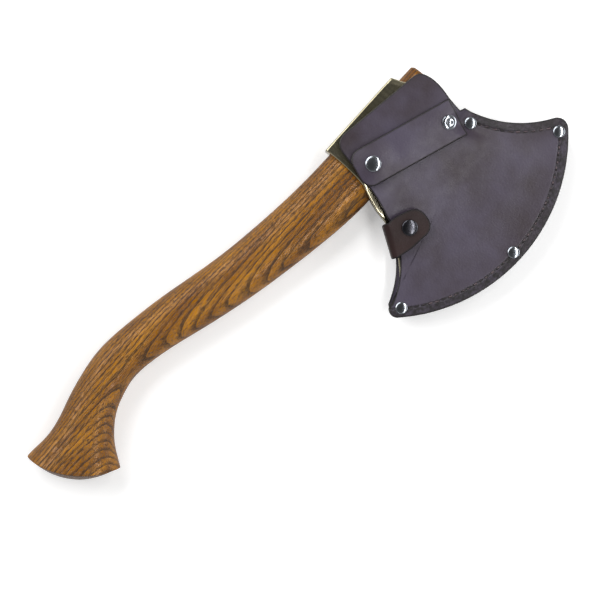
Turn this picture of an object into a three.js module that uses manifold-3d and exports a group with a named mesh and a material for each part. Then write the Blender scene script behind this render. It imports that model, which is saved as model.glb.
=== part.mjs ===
// A hand-forged hatchet with a broad bearded blade, lying on its side in its leather sheath.
// Millimetres. While the pieces are made, X runs up the handle towards the head's top, Y points to the
// poll, Z is the thickness and the origin is the middle of the eye. The group that is exported
// moves all of it so that the origin is under the middle of the whole object.
import * as THREE from "three";
import { mergeVertices } from "three/addons/utils/BufferGeometryUtils.js";
import Module from "manifold-3d";

const wasm = await Module();
wasm.setup();
const { smoothstep, clamp, degToRad } = THREE.MathUtils;

// ---------------------------------------------------------------- driving dimensions
const GAP = 0.3; // between pieces that touch
const FIT = 0.4; // between the steel and the leather that is drawn over it

const EYE_HALF = 14.5; // half the head's thickness over the eye
const BLADE_HALF = 2.4; // half the blade's thickness just behind its bevel
const EDGE_HALF = 0.35; // half the width of the cutting edge's flat
const BEVEL_WIDTH = 12;
const BLADE_TO_WELT = 2.5; // room in front of the cutting edge
const SPINE_TO_WELT = 0.9; // room above the blade's top edge

const LEATHER = 2.5; // both panels
const STRAP_LEATHER = 2.2; // the belt strap
const KEEPER_LEATHER = 2.0; // the keeper strap
const WELT_WIDTH = 10;
const WELT_HALF = BLADE_HALF + FIT; // along the cutting edge
const NECK_EXTRA = 3.2; // how much thicker than that the welt is at the neck
const RIM_RISE = 26; // how far the panels take to swell behind the stitched edge
const SEAM_RISE = 10.5; // the same behind the stitched top seam

const EDGE_ARC = { x: 1.5, y: -1, radius: 131.5 }; // the sheath's long curved edge
const SEAM_ARC = { x: 134, y: -16, radius: 83 }; // the hollow top seam, from the neck to the toe
const NECK_Y = -38; // where the top seam starts
const TOE_ROUND = 8;
const HEEL = { x: -88.6, y: -88, radius: 6.4 };
const MOUTH = [[-90, -80.6], [-57, -70], [-45, -38]]; // open edge: its end, its pull point, its other end
const FRONT_INSET = 2.6; // how much further back the front panel's mouth is than the back panel's

const STRAP_WIDTH = 28.8;
const STRAP_TURN = -20.7; // degrees from the handle's line
const STRAP_END = 13.5; // from the snap to the round end
const STRAP_RIVET = 61.6; // from the snap to the rivet
const STRAP_TAIL = 70; // from the snap to the cut end
const STRAP_BEND = 52; // from the snap to the line where the strap bends when it is opened
const BELT_SNAP = [-21, -7.5];

const KEEPER_FOLD = [[-49.5, -40.5], [-64, -62]]; // the fold's two ends
const KEEPER_SNAP = [-38.5, -56];
const KEEPER_ROOT_LENGTH = 24;
const KEEPER_RIVET_IN = 14; // from the fold to the rivet on the back

const STITCH_IN = 6.5; // stitch line to the leather's edge
const THREAD_RADIUS = 0.45;

const RIVET_CAP = { radius: 4.4, height: 1.6 };
const STRAP_CAP = { radius: 5.3, height: 1.7 };
const SNAP_CAP = { radius: 5.8, height: 1.9 };
const SHANK = 1.6;
const BURR = { radius: 4.2, thickness: 0.6 };
const SNAP_POST = 1.2;
const STUD = { radius: 4.2, base: 0.45, knob: 2.3, height: 1.3 };
const SOCKET = { radius: 4.7, height: 1.9, mouth: 2.9, depth: 1.3 };
const BORE_DEPTH = 0.9; // how far a shank reaches into the piece that is set on it

const TONGUE_END = 51; // where the handle comes out of the eye
const KERF_DEPTH = 55;
const WEDGE_THICK = 3.8;
const WEDGE_TIP = 0.9;
const CROSS_WEDGE = { depth: 20, width: 13, thick: 2.4, tip: 0.9, y: -2, turn: 24 };

const ROUND = 12; // sides of a turned fastener
const CELL = 8.5; // grid step of the swelling surfaces

const SNAP_LIFT = GAP + STUD.base + GAP + SOCKET.height + GAP; // strap above panel at a snap

// ---------------------------------------------------------------- materials
const finish = (color, roughness, metalness) =>
  new THREE.MeshStandardMaterial({ color, roughness, metalness });
const steel = finish(0x9a9c93, 0.28, 1);
const wood = finish(0x96642f, 0.45, 0);
const leather = finish(0x4b4249, 0.5, 0);
const keeperLeather = finish(0x3a2a2a, 0.55, 0);
const threadFinish = finish(0x2a2326, 0.8, 0);
const nickel = finish(0xb9bcc0, 0.2, 1);
const blackened = finish(0x3a3a3e, 0.3, 1);

// ---------------------------------------------------------------- solids and meshes
/** The closed solid of a geometry, moved by a matrix. */
function solidOf(geometry, matrix = new THREE.Matrix4()) {
  const bare = (geometry.index ? geometry.toNonIndexed() : geometry.clone()).applyMatrix4(matrix);
  bare.deleteAttribute("normal");
  bare.deleteAttribute("uv");
  const merged = mergeVertices(bare, 1e-4);
  return new wasm.Manifold(new wasm.Mesh({
    numProp: 3,
    vertProperties: merged.attributes.position.array,
    triVerts: new Uint32Array(merged.index.array),
  }));
}

/** The geometry of a solid, taken relative to a point. */
function geometryOf(solid, origin = new THREE.Vector3()) {
  const mesh = solid.getMesh();
  const positions = new Float32Array(mesh.vertProperties);
  const geometry = new THREE.BufferGeometry();
  geometry.setAttribute("position", new THREE.BufferAttribute(positions, 3));
  geometry.setIndex(new THREE.BufferAttribute(mesh.triVerts, 1));
  geometry.translate(-origin.x, -origin.y, -origin.z);
  geometry.computeVertexNormals();
  return geometry;
}

/** Adds a named mesh to a group, whose own place is taken off its geometry. */
function add(group, name, solid, material) {
  const mesh = new THREE.Mesh(geometryOf(solid, group.position), material);
  mesh.name = name;
  group.add(mesh);
}

/** An outline given height, from one level to another. */
function prism(shape, low, high, curveSegments = 12) {
  const geometry = new THREE.ExtrudeGeometry(shape, { depth: high - low, bevelEnabled: false, curveSegments });
  return solidOf(geometry, new THREE.Matrix4().makeTranslation(0, 0, low));
}

/** A solid between two surfaces given as heights over x and y, on one grid for every piece. */
function slab(lower, upper) {
  const [x0, x1, y0, y1] = [-102, 102, -138, 30];
  const nx = Math.round((x1 - x0) / CELL);
  const ny = Math.round((y1 - y0) / CELL);
  const points = [];
  for (const height of [lower, upper])
    for (let j = 0; j <= ny; j++)
      for (let i = 0; i <= nx; i++) {
        const [x, y] = [x0 + i * CELL, y0 + j * CELL];
        points.push(x, y, height(x, y));
      }
  const at = (i, j, top) => top * (nx + 1) * (ny + 1) + j * (nx + 1) + i;
  const faces = [];
  const quad = (a, b, c, d) => faces.push(a, b, c, a, c, d);
  for (let j = 0; j < ny; j++)
    for (let i = 0; i < nx; i++) {
      quad(at(i, j, 1), at(i + 1, j, 1), at(i + 1, j + 1, 1), at(i, j + 1, 1));
      // the same diagonal below, so that a constant thickness stays constant
      faces.push(at(i, j, 0), at(i + 1, j + 1, 0), at(i + 1, j, 0));
      faces.push(at(i, j, 0), at(i, j + 1, 0), at(i + 1, j + 1, 0));
    }
  for (let i = 0; i < nx; i++) {
    quad(at(i, 0, 0), at(i + 1, 0, 0), at(i + 1, 0, 1), at(i, 0, 1));
    quad(at(i + 1, ny, 0), at(i, ny, 0), at(i, ny, 1), at(i + 1, ny, 1));
  }
  for (let j = 0; j < ny; j++) {
    quad(at(0, j + 1, 0), at(0, j, 0), at(0, j, 1), at(0, j + 1, 1));
    quad(at(nx, j, 0), at(nx, j + 1, 0), at(nx, j + 1, 1), at(nx, j, 1));
  }
  const geometry = new THREE.BufferGeometry();
  geometry.setAttribute("position", new THREE.Float32BufferAttribute(points, 3));
  geometry.setIndex(faces);
  return solidOf(geometry);
}

/** A solid through rings of points, closed at both ends. */
function loft(rings) {
  const count = rings[0].length;
  const points = rings.flat().flatMap((p) => [p.x, p.y, p.z]);
  const faces = [];
  for (let r = 0; r < rings.length - 1; r++)
    for (let k = 0; k < count; k++) {
      const [a, b] = [r * count + k, r * count + ((k + 1) % count)];
      faces.push(a, b, b + count, a, b + count, a + count);
    }
  for (const [ring, outward] of [[0, false], [rings.length - 1, true]]) {
    const middle = rings[ring].reduce((sum, p) => sum.add(p), new THREE.Vector3()).divideScalar(count);
    const hub = points.length / 3;
    points.push(middle.x, middle.y, middle.z);
    for (let k = 0; k < count; k++) {
      const [a, b] = [ring * count + k, ring * count + ((k + 1) % count)];
      faces.push(...(outward ? [a, b, hub] : [b, a, hub]));
    }
  }
  const geometry = new THREE.BufferGeometry();
  geometry.setAttribute("position", new THREE.Float32BufferAttribute(points, 3));
  geometry.setIndex(faces);
  return solidOf(geometry);
}

/** A turned solid about a local Z axis, placed by a matrix. The profile lists radius and height. */
function turned(profile, matrix = new THREE.Matrix4(), sides = ROUND) {
  const lathe = new THREE.LatheGeometry(profile.map(([r, z]) => new THREE.Vector2(r, z)), sides);
  lathe.applyMatrix4(new THREE.Matrix4().makeRotationX(Math.PI / 2));
  return solidOf(lathe, matrix);
}

/** A plain round cutter between two local heights. */
const drill = (radius, low, high, matrix) =>
  turned([[0, low], [radius, low], [radius, high], [0, high]], matrix);

/** Takes every cutter out of a solid. */
const cut = (solid, cutters) => cutters.reduce((rest, cutter) => rest.subtract(cutter), solid);

// ---------------------------------------------------------------- the leather's swelling
const fromCentre = (arc, x, y) => Math.hypot(x - arc.x, y - arc.y);
const seamInner = SEAM_ARC.radius + WELT_WIDTH;
const rimInner = EDGE_ARC.radius - WELT_WIDTH;
const NECK = {
  x: SEAM_ARC.x - Math.sqrt(seamInner ** 2 - (NECK_Y - SEAM_ARC.y) ** 2),
  y: NECK_Y,
};

/** Half the welt's thickness: layers are added from the toe up to the neck. */
const weltHalf = (y) => WELT_HALF + NECK_EXTRA * smoothstep(y, -88, -34);

/** Distance from the inner side of the top seam, or from its end at the neck. */
function fromSeam(x, y) {
  if (y > NECK.y) return Math.hypot(Math.max(NECK.x - x, 0), y - NECK.y);
  return fromCentre(SEAM_ARC, x, y) - seamInner;
}

/** 0 along the stitched edges, 1 away from them. */
function freedom(x, y, seamRise) {
  const rim = smoothstep(rimInner - fromCentre(EDGE_ARC, x, y), 0, RIM_RISE);
  return rim * smoothstep(fromSeam(x, y), 0, seamRise);
}

/** How the open edge draws the panels in towards the blade, below the eye. */
function mouthDraw(x, y) {
  const [[ax, ay], , [bx, by]] = MOUTH;
  const length = Math.hypot(bx - ax, by - ay);
  const inward = ((x - ax) * (by - ay) - (y - ay) * (bx - ax)) / length;
  return 1 - 0.5 * (1 - smoothstep(inward, 4, 32)) * smoothstep(-y, 26, 52);
}

/** Half the sheath's inner width: the eye's at the top, the welt's at the stitched edges. */
function inside(x, y) {
  const slope = 0.78 * smoothstep(y, -66, -14) + 0.22 * clamp((y + 122) / 100, 0, 1);
  const edge = weltHalf(y) + GAP;
  return edge + (EYE_HALF + FIT - edge) * slope * freedom(x, y, SEAM_RISE) * mouthDraw(x, y);
}
const outside = (x, y) => inside(x, y) + LEATHER;

/** Half the head's thickness. */
function headHalf(x, y) {
  const slope = 0.8 * smoothstep(y, -46, -4) + 0.2 * clamp((y + 118) / 104, 0, 1);
  const spine = BLADE_HALF + (weltHalf(y) - WELT_HALF) * 0.7 * smoothstep(x, -30, 30);
  return spine + (EYE_HALF - spine) * slope * freedom(x, y, SEAM_RISE * 1.7);
}

// ---------------------------------------------------------------- outlines
const angleTo = (arc, [x, y]) => Math.atan2(y - arc.y, x - arc.x);

/** Where two circles cross, taking the crossing with the smaller y. */
function crossing(a, ra, b, rb) {
  const d = Math.hypot(b.x - a.x, b.y - a.y);
  const along = (d * d + ra * ra - rb * rb) / (2 * d);
  const across = Math.sqrt(ra * ra - along * along);
  const [ux, uy] = [(b.x - a.x) / d, (b.y - a.y) / d];
  return [1, -1]
    .map((s) => [a.x + ux * along - s * uy * across, a.y + uy * along + s * ux * across])
    .sort((p, q) => p[1] - q[1])[0];
}
const TOE = crossing(EDGE_ARC, EDGE_ARC.radius - TOE_ROUND, SEAM_ARC, SEAM_ARC.radius + TOE_ROUND);
const toeArc = { x: TOE[0], y: TOE[1] };
const onSeam = (y, radius = SEAM_ARC.radius) =>
  [SEAM_ARC.x - Math.sqrt(radius ** 2 - (y - SEAM_ARC.y) ** 2), y];

/** The stitched side of both panels and the welt, from the neck round the toe to the heel. */
function stitchedEdge(path, start) {
  const toTouch = angleTo(SEAM_ARC, TOE);
  const away = angleTo(EDGE_ARC, TOE);
  path.absarc(SEAM_ARC.x, SEAM_ARC.y, SEAM_ARC.radius, angleTo(SEAM_ARC, start) + 2 * Math.PI,
    toTouch + 2 * Math.PI, false);
  path.absarc(toeArc.x, toeArc.y, TOE_ROUND, toTouch + Math.PI, away, true);
  path.absarc(EDGE_ARC.x, EDGE_ARC.y, EDGE_ARC.radius, away, angleTo(EDGE_ARC, [HEEL.x, HEEL.y]), true);
  path.absarc(HEEL.x, HEEL.y, HEEL.radius, angleTo(EDGE_ARC, [HEEL.x, HEEL.y]), degToRad(-243), true);
}

/** A panel's outline. The front one's open edge lies further back by the inset. */
function panelOutline(inset) {
  const start = onSeam(-32);
  const [a, b, c] = MOUTH.map(([x, y]) => [x + inset * 0.55, y - inset * 0.85]);
  const shape = new THREE.Shape();
  shape.moveTo(49, -30.5);
  shape.lineTo(...start);
  stitchedEdge(shape, start);
  shape.lineTo(...a);
  shape.quadraticCurveTo(...b, ...c);
  shape.quadraticCurveTo(-37.5, -26, -35.2, -14); // beside the handle
  shape.lineTo(-29.2, 13);
  shape.quadraticCurveTo(-27.5, 22.6, -18, 22.4); // the flap's low corner
  shape.lineTo(45, 10.9);
  shape.quadraticCurveTo(50.5, 10, 52.2, 4.5); // the flap's high corner
  shape.quadraticCurveTo(54.8, -4, 50.6, -18);
  shape.lineTo(48.4, -29.5);
  return shape;
}

/** The welt: a band along the stitched edge. */
function weltOutline() {
  const start = onSeam(NECK_Y);
  const corner = crossing(EDGE_ARC, rimInner, SEAM_ARC, seamInner);
  const end = [HEEL.x + 1.5, HEEL.y + 5.6];
  const shape = new THREE.Shape();
  shape.moveTo(...start);
  stitchedEdge(shape, start);
  shape.lineTo(...end);
  const inner = angleTo(EDGE_ARC, end);
  shape.absarc(EDGE_ARC.x, EDGE_ARC.y, rimInner, inner, angleTo(EDGE_ARC, corner), false);
  shape.absarc(SEAM_ARC.x, SEAM_ARC.y, seamInner, angleTo(SEAM_ARC, corner),
    angleTo(SEAM_ARC, [NECK.x, NECK.y]), true);
  return shape;
}

/** The head seen from its side, its cutting edge and top edge following the sheath. */
function headOutline() {
  const radius = rimInner - BLADE_TO_WELT;
  const topRadius = seamInner + SPINE_TO_WELT;
  const toe = crossing(EDGE_ARC, radius, SEAM_ARC, topRadius);
  const shape = new THREE.Shape();
  shape.moveTo(-35, 25);
  shape.quadraticCurveTo(-34, 8, -37, -12); // beside the handle
  shape.quadraticCurveTo(-41, -20, -44.5, -31);
  shape.lineTo(-46.5, -40);
  shape.bezierCurveTo(-51, -55, -62, -70, -83.2, -84.2); // the beard
  shape.absarc(EDGE_ARC.x, EDGE_ARC.y, radius, angleTo(EDGE_ARC, [-83.2, -84.2]), angleTo(EDGE_ARC, toe), false);
  shape.absarc(SEAM_ARC.x, SEAM_ARC.y, topRadius, angleTo(SEAM_ARC, toe),
    angleTo(SEAM_ARC, onSeam(-43, topRadius)), true);
  shape.bezierCurveTo(41.8, -38, 41.6, -29, 45.6, -24.5);
  shape.bezierCurveTo(49, -20.5, 52.4, -16, 51.8, -12);
  shape.quadraticCurveTo(50, -7, 38, 14.5); // over the eye
  shape.lineTo(35, 22.5);
  return shape;
}

// ---------------------------------------------------------------- the handle
// Stations from the top of the tongue to the butt: the upper edge's x and y, the lower edge's x and y,
// half the thickness, and how far the section bows towards the butt.
const STATIONS = [
  [TONGUE_END, 16.6, TONGUE_END, -17.0, 9.0, 0],
  [0, 18.9, 0, -19.4, 9.9, 0],
  [-34, 20.9, -34, -21.6, 10.9, 0],
  [-52, 21.9, -52, -21.3, 12.6, 0],
  [-78, 24.3, -78, -17.7, 13.6, 0],
  [-114, 29.5, -114, -10.4, 14.2, 0],
  [-150, 36.8, -150, -1.6, 14.4, 0],
  [-186, 46.5, -186, 9.3, 14.3, 0],
  [-215, 53.1, -213, 18.4, 14.0, 0],
  [-243, 57.6, -241, 25.2, 13.8, 0],
  [-265, 57.0, -259, 24.5, 13.9, 0.2],
  [-286, 53.4, -274, 20.2, 14.4, 1],
  [-304, 48.9, -286, 13.0, 15.2, 2.6],
  [-320, 46.8, -295, 4.6, 16.1, 4.6],
  [-333, 47.9, -301.5, -4.2, 16.9, 6.6],
  [-342.6, 48.6, -305.2, -9.2, 17.3, 7.8],
];
const RING_SIDES = 20;
const OVAL_POWER = 0.88; // below 1 the oval has fuller shoulders
const BUTT_DOME = 3.8;

const upperLine = new THREE.CatmullRomCurve3(STATIONS.map(([x, y, , , w]) => new THREE.Vector3(x, y, w)));
const lowerLine = new THREE.CatmullRomCurve3(STATIONS.map(([, , x, y, , b]) => new THREE.Vector3(x, y, b)));

/** One oval section. Growth widens it all round and shrink draws it in towards its middle. */
function section(t, growth = 0, shrink = 1, extraBow = 0) {
  const upper = upperLine.getPoint(t);
  const lower = lowerLine.getPoint(t);
  const span = new THREE.Vector2(upper.x - lower.x, upper.y - lower.y);
  const half = span.length() / 2;
  const across = span.clone().normalize();
  const outward = new THREE.Vector2(-across.y, across.x); // towards the butt
  const middle = new THREE.Vector2((upper.x + lower.x) / 2, (upper.y + lower.y) / 2);
  return Array.from({ length: RING_SIDES }, (_, k) => {
    const angle = (-2 * Math.PI * k) / RING_SIDES;
    const c = Math.sign(Math.cos(angle)) * Math.abs(Math.cos(angle)) ** OVAL_POWER;
    const s = Math.sign(Math.sin(angle)) * Math.abs(Math.sin(angle)) ** OVAL_POWER;
    const reach = c * shrink * (half + growth);
    const bow = lower.z * (1 - (c * shrink) ** 2) + extraBow;
    return new THREE.Vector3(
      middle.x + across.x * reach + outward.x * bow,
      middle.y + across.y * reach + outward.y * bow,
      s * shrink * (upper.z + growth),
    );
  });
}

/** The place of a station along the handle, from 0 to 1. */
const placeOf = (k) => k / (STATIONS.length - 1);

function handleBlank() {
  const steps = 2 * (STATIONS.length - 1);
  const rings = [section(0, -1.6, 1)].map((ring) => ring.map((p) => p.clone().setX(p.x + 1.4)));
  for (let k = 0; k <= steps; k++) rings.push(section(k / steps));
  for (const r of [0.93, 0.72, 0.4]) rings.push(section(1, 0, r, BUTT_DOME * (1 - r * r)));
  return loft(rings);
}

/** The eye: the handle's own shape where it passes the head, grown by the gap. */
function eyeHole() {
  const steps = 12;
  const rings = [section(0, GAP).map((p) => p.setX(p.x + 12))];
  for (let k = 0; k <= steps; k++) rings.push(section((placeOf(4) * k) / steps, GAP));
  return loft(rings);
}

/** A wedge driven into the tongue's end, pointing down the handle, with room round it. */
function wedge(depth, width, thick, tip, matrix, room = 0) {
  const shape = new THREE.Shape();
  shape.moveTo(TONGUE_END + room * 20, thick / 2 + room);
  shape.lineTo(TONGUE_END - depth - room, tip / 2 + room);
  shape.lineTo(TONGUE_END - depth - room, -tip / 2 - room);
  shape.lineTo(TONGUE_END + room * 20, -thick / 2 - room);
  const body = new THREE.ExtrudeGeometry(shape, { depth: width + 2 * room, bevelEnabled: false });
  body.translate(0, 0, -width / 2 - room);
  return solidOf(body, matrix);
}
const alongEye = new THREE.Matrix4().makeRotationX(Math.PI / 2); // faces along Z, width along Y
const acrossEye = new THREE.Matrix4()
  .makeTranslation(0, CROSS_WEDGE.y, 0)
  .multiply(new THREE.Matrix4().makeRotationX(degToRad(CROSS_WEDGE.turn)));
const woodWedge = (room = 0) => wedge(KERF_DEPTH, 60, WEDGE_THICK, WEDGE_TIP, alongEye, room);
const steelWedge = (room = 0) =>
  wedge(CROSS_WEDGE.depth, CROSS_WEDGE.width, CROSS_WEDGE.thick, CROSS_WEDGE.tip, acrossEye, room);

// ---------------------------------------------------------------- fasteners
/** A frame on the sheath's outer surface, its Z outwards. Side is 1 in front and -1 behind. */
function seat([x, y], side, lift = 0) {
  const reach = 4.5;
  const dx = (outside(x + reach, y) - outside(x - reach, y)) / (2 * reach);
  const dy = (outside(x, y + reach) - outside(x, y - reach)) / (2 * reach);
  const up = new THREE.Vector3(-dx, -dy, side).normalize();
  const right = new THREE.Vector3(1, 0, 0).addScaledVector(up, -up.x).normalize();
  const forward = new THREE.Vector3().crossVectors(up, right);
  const place = new THREE.Vector3(x, y, side * outside(x, y)).addScaledVector(up, lift);
  return new THREE.Matrix4().makeBasis(right, forward, up).setPosition(place);
}

/** A frame on the stitched edge, square to the blade. */
function rimSeat([x, y], side) {
  return new THREE.Matrix4().makeTranslation(x, y, side * outside(x, y))
    .multiply(new THREE.Matrix4().makeRotationX(side > 0 ? 0 : Math.PI));
}

/** A domed head's profile above its flat underside. */
function dome({ radius, height }, base) {
  const lip = 0.45;
  const points = [[radius, base], [radius, base + lip]];
  for (const a of [45])
    points.push([radius * Math.cos(degToRad(a)), base + lip + (height - lip) * Math.sin(degToRad(a))]);
  points.push([0, base + height]);
  return points;
}

/** A rivet: a domed cap with a shank that reaches down through the leather. */
const rivetCap = (cap, shank, depth, matrix) =>
  turned([[0, -depth], [shank, -depth], [shank, GAP], ...dome(cap, GAP)], matrix);
/** The cap that is set on a rivet's far end. */
const rivetBack = (cap, shank, matrix) =>
  turned([[0, GAP + BORE_DEPTH], [shank + GAP, GAP + BORE_DEPTH], [shank + GAP, GAP], ...dome(cap, GAP)], matrix);
/** A washer sunk into the inner face of a panel. */
const burr = (shank, matrix) => {
  const [r, low, high] = [shank + GAP, -LEATHER, -LEATHER + BURR.thickness];
  return turned([[r, low], [BURR.radius, low], [BURR.radius, high], [r, high], [r, low]], matrix);
};
/** A snap's post: a flange sunk into the panel's inner face, with a shank that reaches out into the stud. */
const snapPost = (matrix) => {
  const flange = -LEATHER + BURR.thickness;
  const tip = GAP + 0.7;
  return turned([[0, -LEATHER], [BURR.radius, -LEATHER], [BURR.radius, flange], [SNAP_POST, flange],
    [SNAP_POST, tip], [0, tip]], matrix);
};
const snapStud = (matrix) => {
  const [bore, roof, base] = [SNAP_POST + GAP, GAP + 1.05, GAP + STUD.base];
  return turned([[0, roof], [bore, roof], [bore, GAP], [STUD.radius, GAP], [STUD.radius, base],
    [STUD.knob, base], [STUD.knob, base + STUD.height], [0, base + STUD.height]], matrix);
};
const snapSocket = (matrix) => {
  const low = GAP + STUD.base + GAP;
  const [roof, high, bore] = [low + SOCKET.depth, low + SOCKET.height, SNAP_POST + GAP];
  return turned([[bore, roof], [SOCKET.mouth, roof], [SOCKET.mouth, low], [SOCKET.radius, low],
    [SOCKET.radius, high], [bore, high], [bore, roof]], matrix);
};

/** Room in a panel for a sunk flange and its shank. */
const flangeSeat = (shank, matrix) => [
  drill(BURR.radius + GAP, -LEATHER - 4, -LEATHER + BURR.thickness + GAP, matrix),
  drill(shank + GAP, -LEATHER - 4, 6, matrix),
];
/** Room above a level for what stands on the leather there. */
const faceSeat = (radius, level, matrix) => drill(radius + GAP, level, level + 12, matrix);

// ---------------------------------------------------------------- places
const turn = degToRad(STRAP_TURN);
const along = [Math.cos(turn), Math.sin(turn)];
const strapPoint = (s, w) => [
  BELT_SNAP[0] + along[0] * s - along[1] * w,
  BELT_SNAP[1] + along[1] * s + along[0] * w,
];
const [[ax, ay], [bx, by]] = KEEPER_FOLD;
const foldLength = Math.hypot(bx - ax, by - ay);
const foldAlong = [(bx - ax) / foldLength, (by - ay) / foldLength];
const inward = [-foldAlong[1], foldAlong[0]];
const keeperPoint = (u, v) => [
  ax + inward[0] * u + foldAlong[0] * v,
  ay + inward[1] * u + foldAlong[1] * v,
];
const mid = foldLength / 2;

const BELT_RIVET = strapPoint(STRAP_RIVET, 0);
const KEEPER_RIVET = keeperPoint(KEEPER_RIVET_IN, mid);
const RIVET_IN = 6.9; // the edge rivets' distance from the leather's edge
const rimPoint = (degrees) => {
  const r = EDGE_ARC.radius - RIVET_IN;
  return [EDGE_ARC.x + r * Math.cos(degToRad(degrees)), EDGE_ARC.y + r * Math.sin(degToRad(degrees))];
};
const EDGE_RIVETS = {
  neck: onSeam(-42, SEAM_ARC.radius + RIVET_IN + 0.9),
  toe: rimPoint(-48.8),
  middle: rimPoint(-92.5),
  heel: rimPoint(-134.8),
};

/** Height of a strap's underside above the front panel: it rises from its fixed end to its snap. */
const strapLift = (x, y) => {
  const s = (x - BELT_SNAP[0]) * along[0] + (y - BELT_SNAP[1]) * along[1];
  return GAP + (SNAP_LIFT - GAP) * smoothstep(-s, -STRAP_BEND, -24);
};

/** A part of the belt strap, between two distances from its snap. */
function strapPiece(from, to, roundEnd) {
  const half = STRAP_WIDTH / 2;
  const shape = new THREE.Shape();
  shape.moveTo(...strapPoint(to, -half));
  shape.lineTo(...strapPoint(to, half));
  const corner = roundEnd ? 8 : 0.01;
  shape.lineTo(...strapPoint(from + corner, half));
  shape.quadraticCurveTo(...strapPoint(from, half), ...strapPoint(from, half - corner));
  shape.lineTo(...strapPoint(from, corner - half));
  shape.quadraticCurveTo(...strapPoint(from, -half), ...strapPoint(from + corner, -half));
  const under = (x, y) => outside(x, y) + strapLift(x, y);
  return prism(shape, 0, 40, 4).intersect(slab(under, (x, y) => under(x, y) + STRAP_LEATHER));
}

/** The keeper's front part: rounded at its far end. */
function keeperFlapOutline() {
  const shape = new THREE.Shape();
  shape.moveTo(...keeperPoint(KEEPER_LEATHER + GAP, 1));
  shape.lineTo(...keeperPoint(KEEPER_LEATHER + GAP, foldLength));
  shape.lineTo(...keeperPoint(26, 17));
  shape.quadraticCurveTo(...keeperPoint(34, 14), ...keeperPoint(33, 6));
  shape.quadraticCurveTo(...keeperPoint(30, -5), ...keeperPoint(22, -4.6));
  return shape;
}

/** The keeper's part on the back panel. */
function keeperRootOutline() {
  const shape = new THREE.Shape();
  shape.moveTo(...keeperPoint(KEEPER_LEATHER + GAP, 0.5));
  shape.lineTo(...keeperPoint(KEEPER_LEATHER + GAP, foldLength - 0.5));
  shape.lineTo(...keeperPoint(KEEPER_ROOT_LENGTH - 7, foldLength - 3));
  shape.quadraticCurveTo(...keeperPoint(KEEPER_ROOT_LENGTH, foldLength - 4), ...keeperPoint(KEEPER_ROOT_LENGTH, mid));
  shape.quadraticCurveTo(...keeperPoint(KEEPER_ROOT_LENGTH, 3), ...keeperPoint(KEEPER_ROOT_LENGTH - 7, 2));
  return shape;
}

function keeperFoldOutline() {
  const shape = new THREE.Shape();
  shape.moveTo(...keeperPoint(0, 0));
  shape.lineTo(...keeperPoint(0, foldLength));
  shape.lineTo(...keeperPoint(KEEPER_LEATHER, foldLength));
  shape.lineTo(...keeperPoint(KEEPER_LEATHER, 0));
  return shape;
}

// ---------------------------------------------------------------- hatchet
const hatchet = new THREE.Group();
const blank = handleBlank();
const disc = turned([[0, -EDGE_HALF - 30], [rimInner - BLADE_TO_WELT, -EDGE_HALF],
  [rimInner - BLADE_TO_WELT, EDGE_HALF], [0, EDGE_HALF + 30]]
  .map(([r, z]) => [r, r ? z : Math.sign(z) * (EDGE_HALF
    + ((rimInner - BLADE_TO_WELT) * (BLADE_HALF - EDGE_HALF)) / BEVEL_WIDTH)]),
  new THREE.Matrix4().makeTranslation(EDGE_ARC.x, EDGE_ARC.y, 0), 144);
const head = prism(headOutline(), -20, 20, 16)
  .intersect(slab((x, y) => -headHalf(x, y), headHalf))
  .intersect(disc)
  .subtract(eyeHole());
add(hatchet, "axe_head", head, steel);
add(hatchet, "handle", cut(blank, [woodWedge(GAP), steelWedge(GAP)]), wood);
add(hatchet, "eye_wedge", woodWedge().intersect(blank).subtract(steelWedge(GAP)), wood);
add(hatchet, "cross_wedge", steelWedge(), steel);

// ---------------------------------------------------------------- sheath
const sheath = new THREE.Group();
const rivetMatrices = Object.entries(EDGE_RIVETS)
  .map(([name, at]) => [name, rimSeat(at, 1), rimSeat(at, -1), 2 * outside(...at)]);
const rivetHoles = rivetMatrices.map(([, front, , stack]) => drill(SHANK + GAP, -stack - 2, 2, front));
const capSeats = (side) => rivetMatrices.map((m) => faceSeat(RIVET_CAP.radius, 0, m[side]));

const beltSnap = seat(BELT_SNAP, 1);
const keeperSnap = seat(KEEPER_SNAP, 1);
const beltRivet = seat(BELT_RIVET, 1);
const keeperRivet = seat(KEEPER_RIVET, -1);

const frontPanel = prism(panelOutline(FRONT_INSET), 0, 40).intersect(slab(inside, outside));
add(sheath, "sheath_front_panel", cut(frontPanel, [
  ...rivetHoles,
  ...capSeats(1),
  ...flangeSeat(SNAP_POST, beltSnap),
  ...flangeSeat(SNAP_POST, keeperSnap),
  ...flangeSeat(SHANK, beltRivet),
  faceSeat(STUD.radius, 0, beltSnap),
  faceSeat(STUD.radius, 0, keeperSnap),
]), leather);
const backPanel = prism(panelOutline(0), -40, 0)
  .intersect(slab((x, y) => -outside(x, y), (x, y) => -inside(x, y)));
add(sheath, "sheath_back_panel", cut(backPanel, [
  ...rivetHoles,
  ...capSeats(2),
  ...flangeSeat(SHANK, keeperRivet),
]), leather);
const welt = prism(weltOutline(), -20, 20).intersect(slab((x, y) => -weltHalf(y), (x, y) => weltHalf(y)));
add(sheath, "sheath_welt", cut(welt, rivetHoles), leather);

for (const [name, front, back, stack] of rivetMatrices) {
  add(sheath, `rivet_${name}_cap`, rivetCap(RIVET_CAP, SHANK, stack + BORE_DEPTH, front), nickel);
  add(sheath, `rivet_${name}_back`, rivetBack(RIVET_CAP, SHANK, back), nickel);
}

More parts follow.
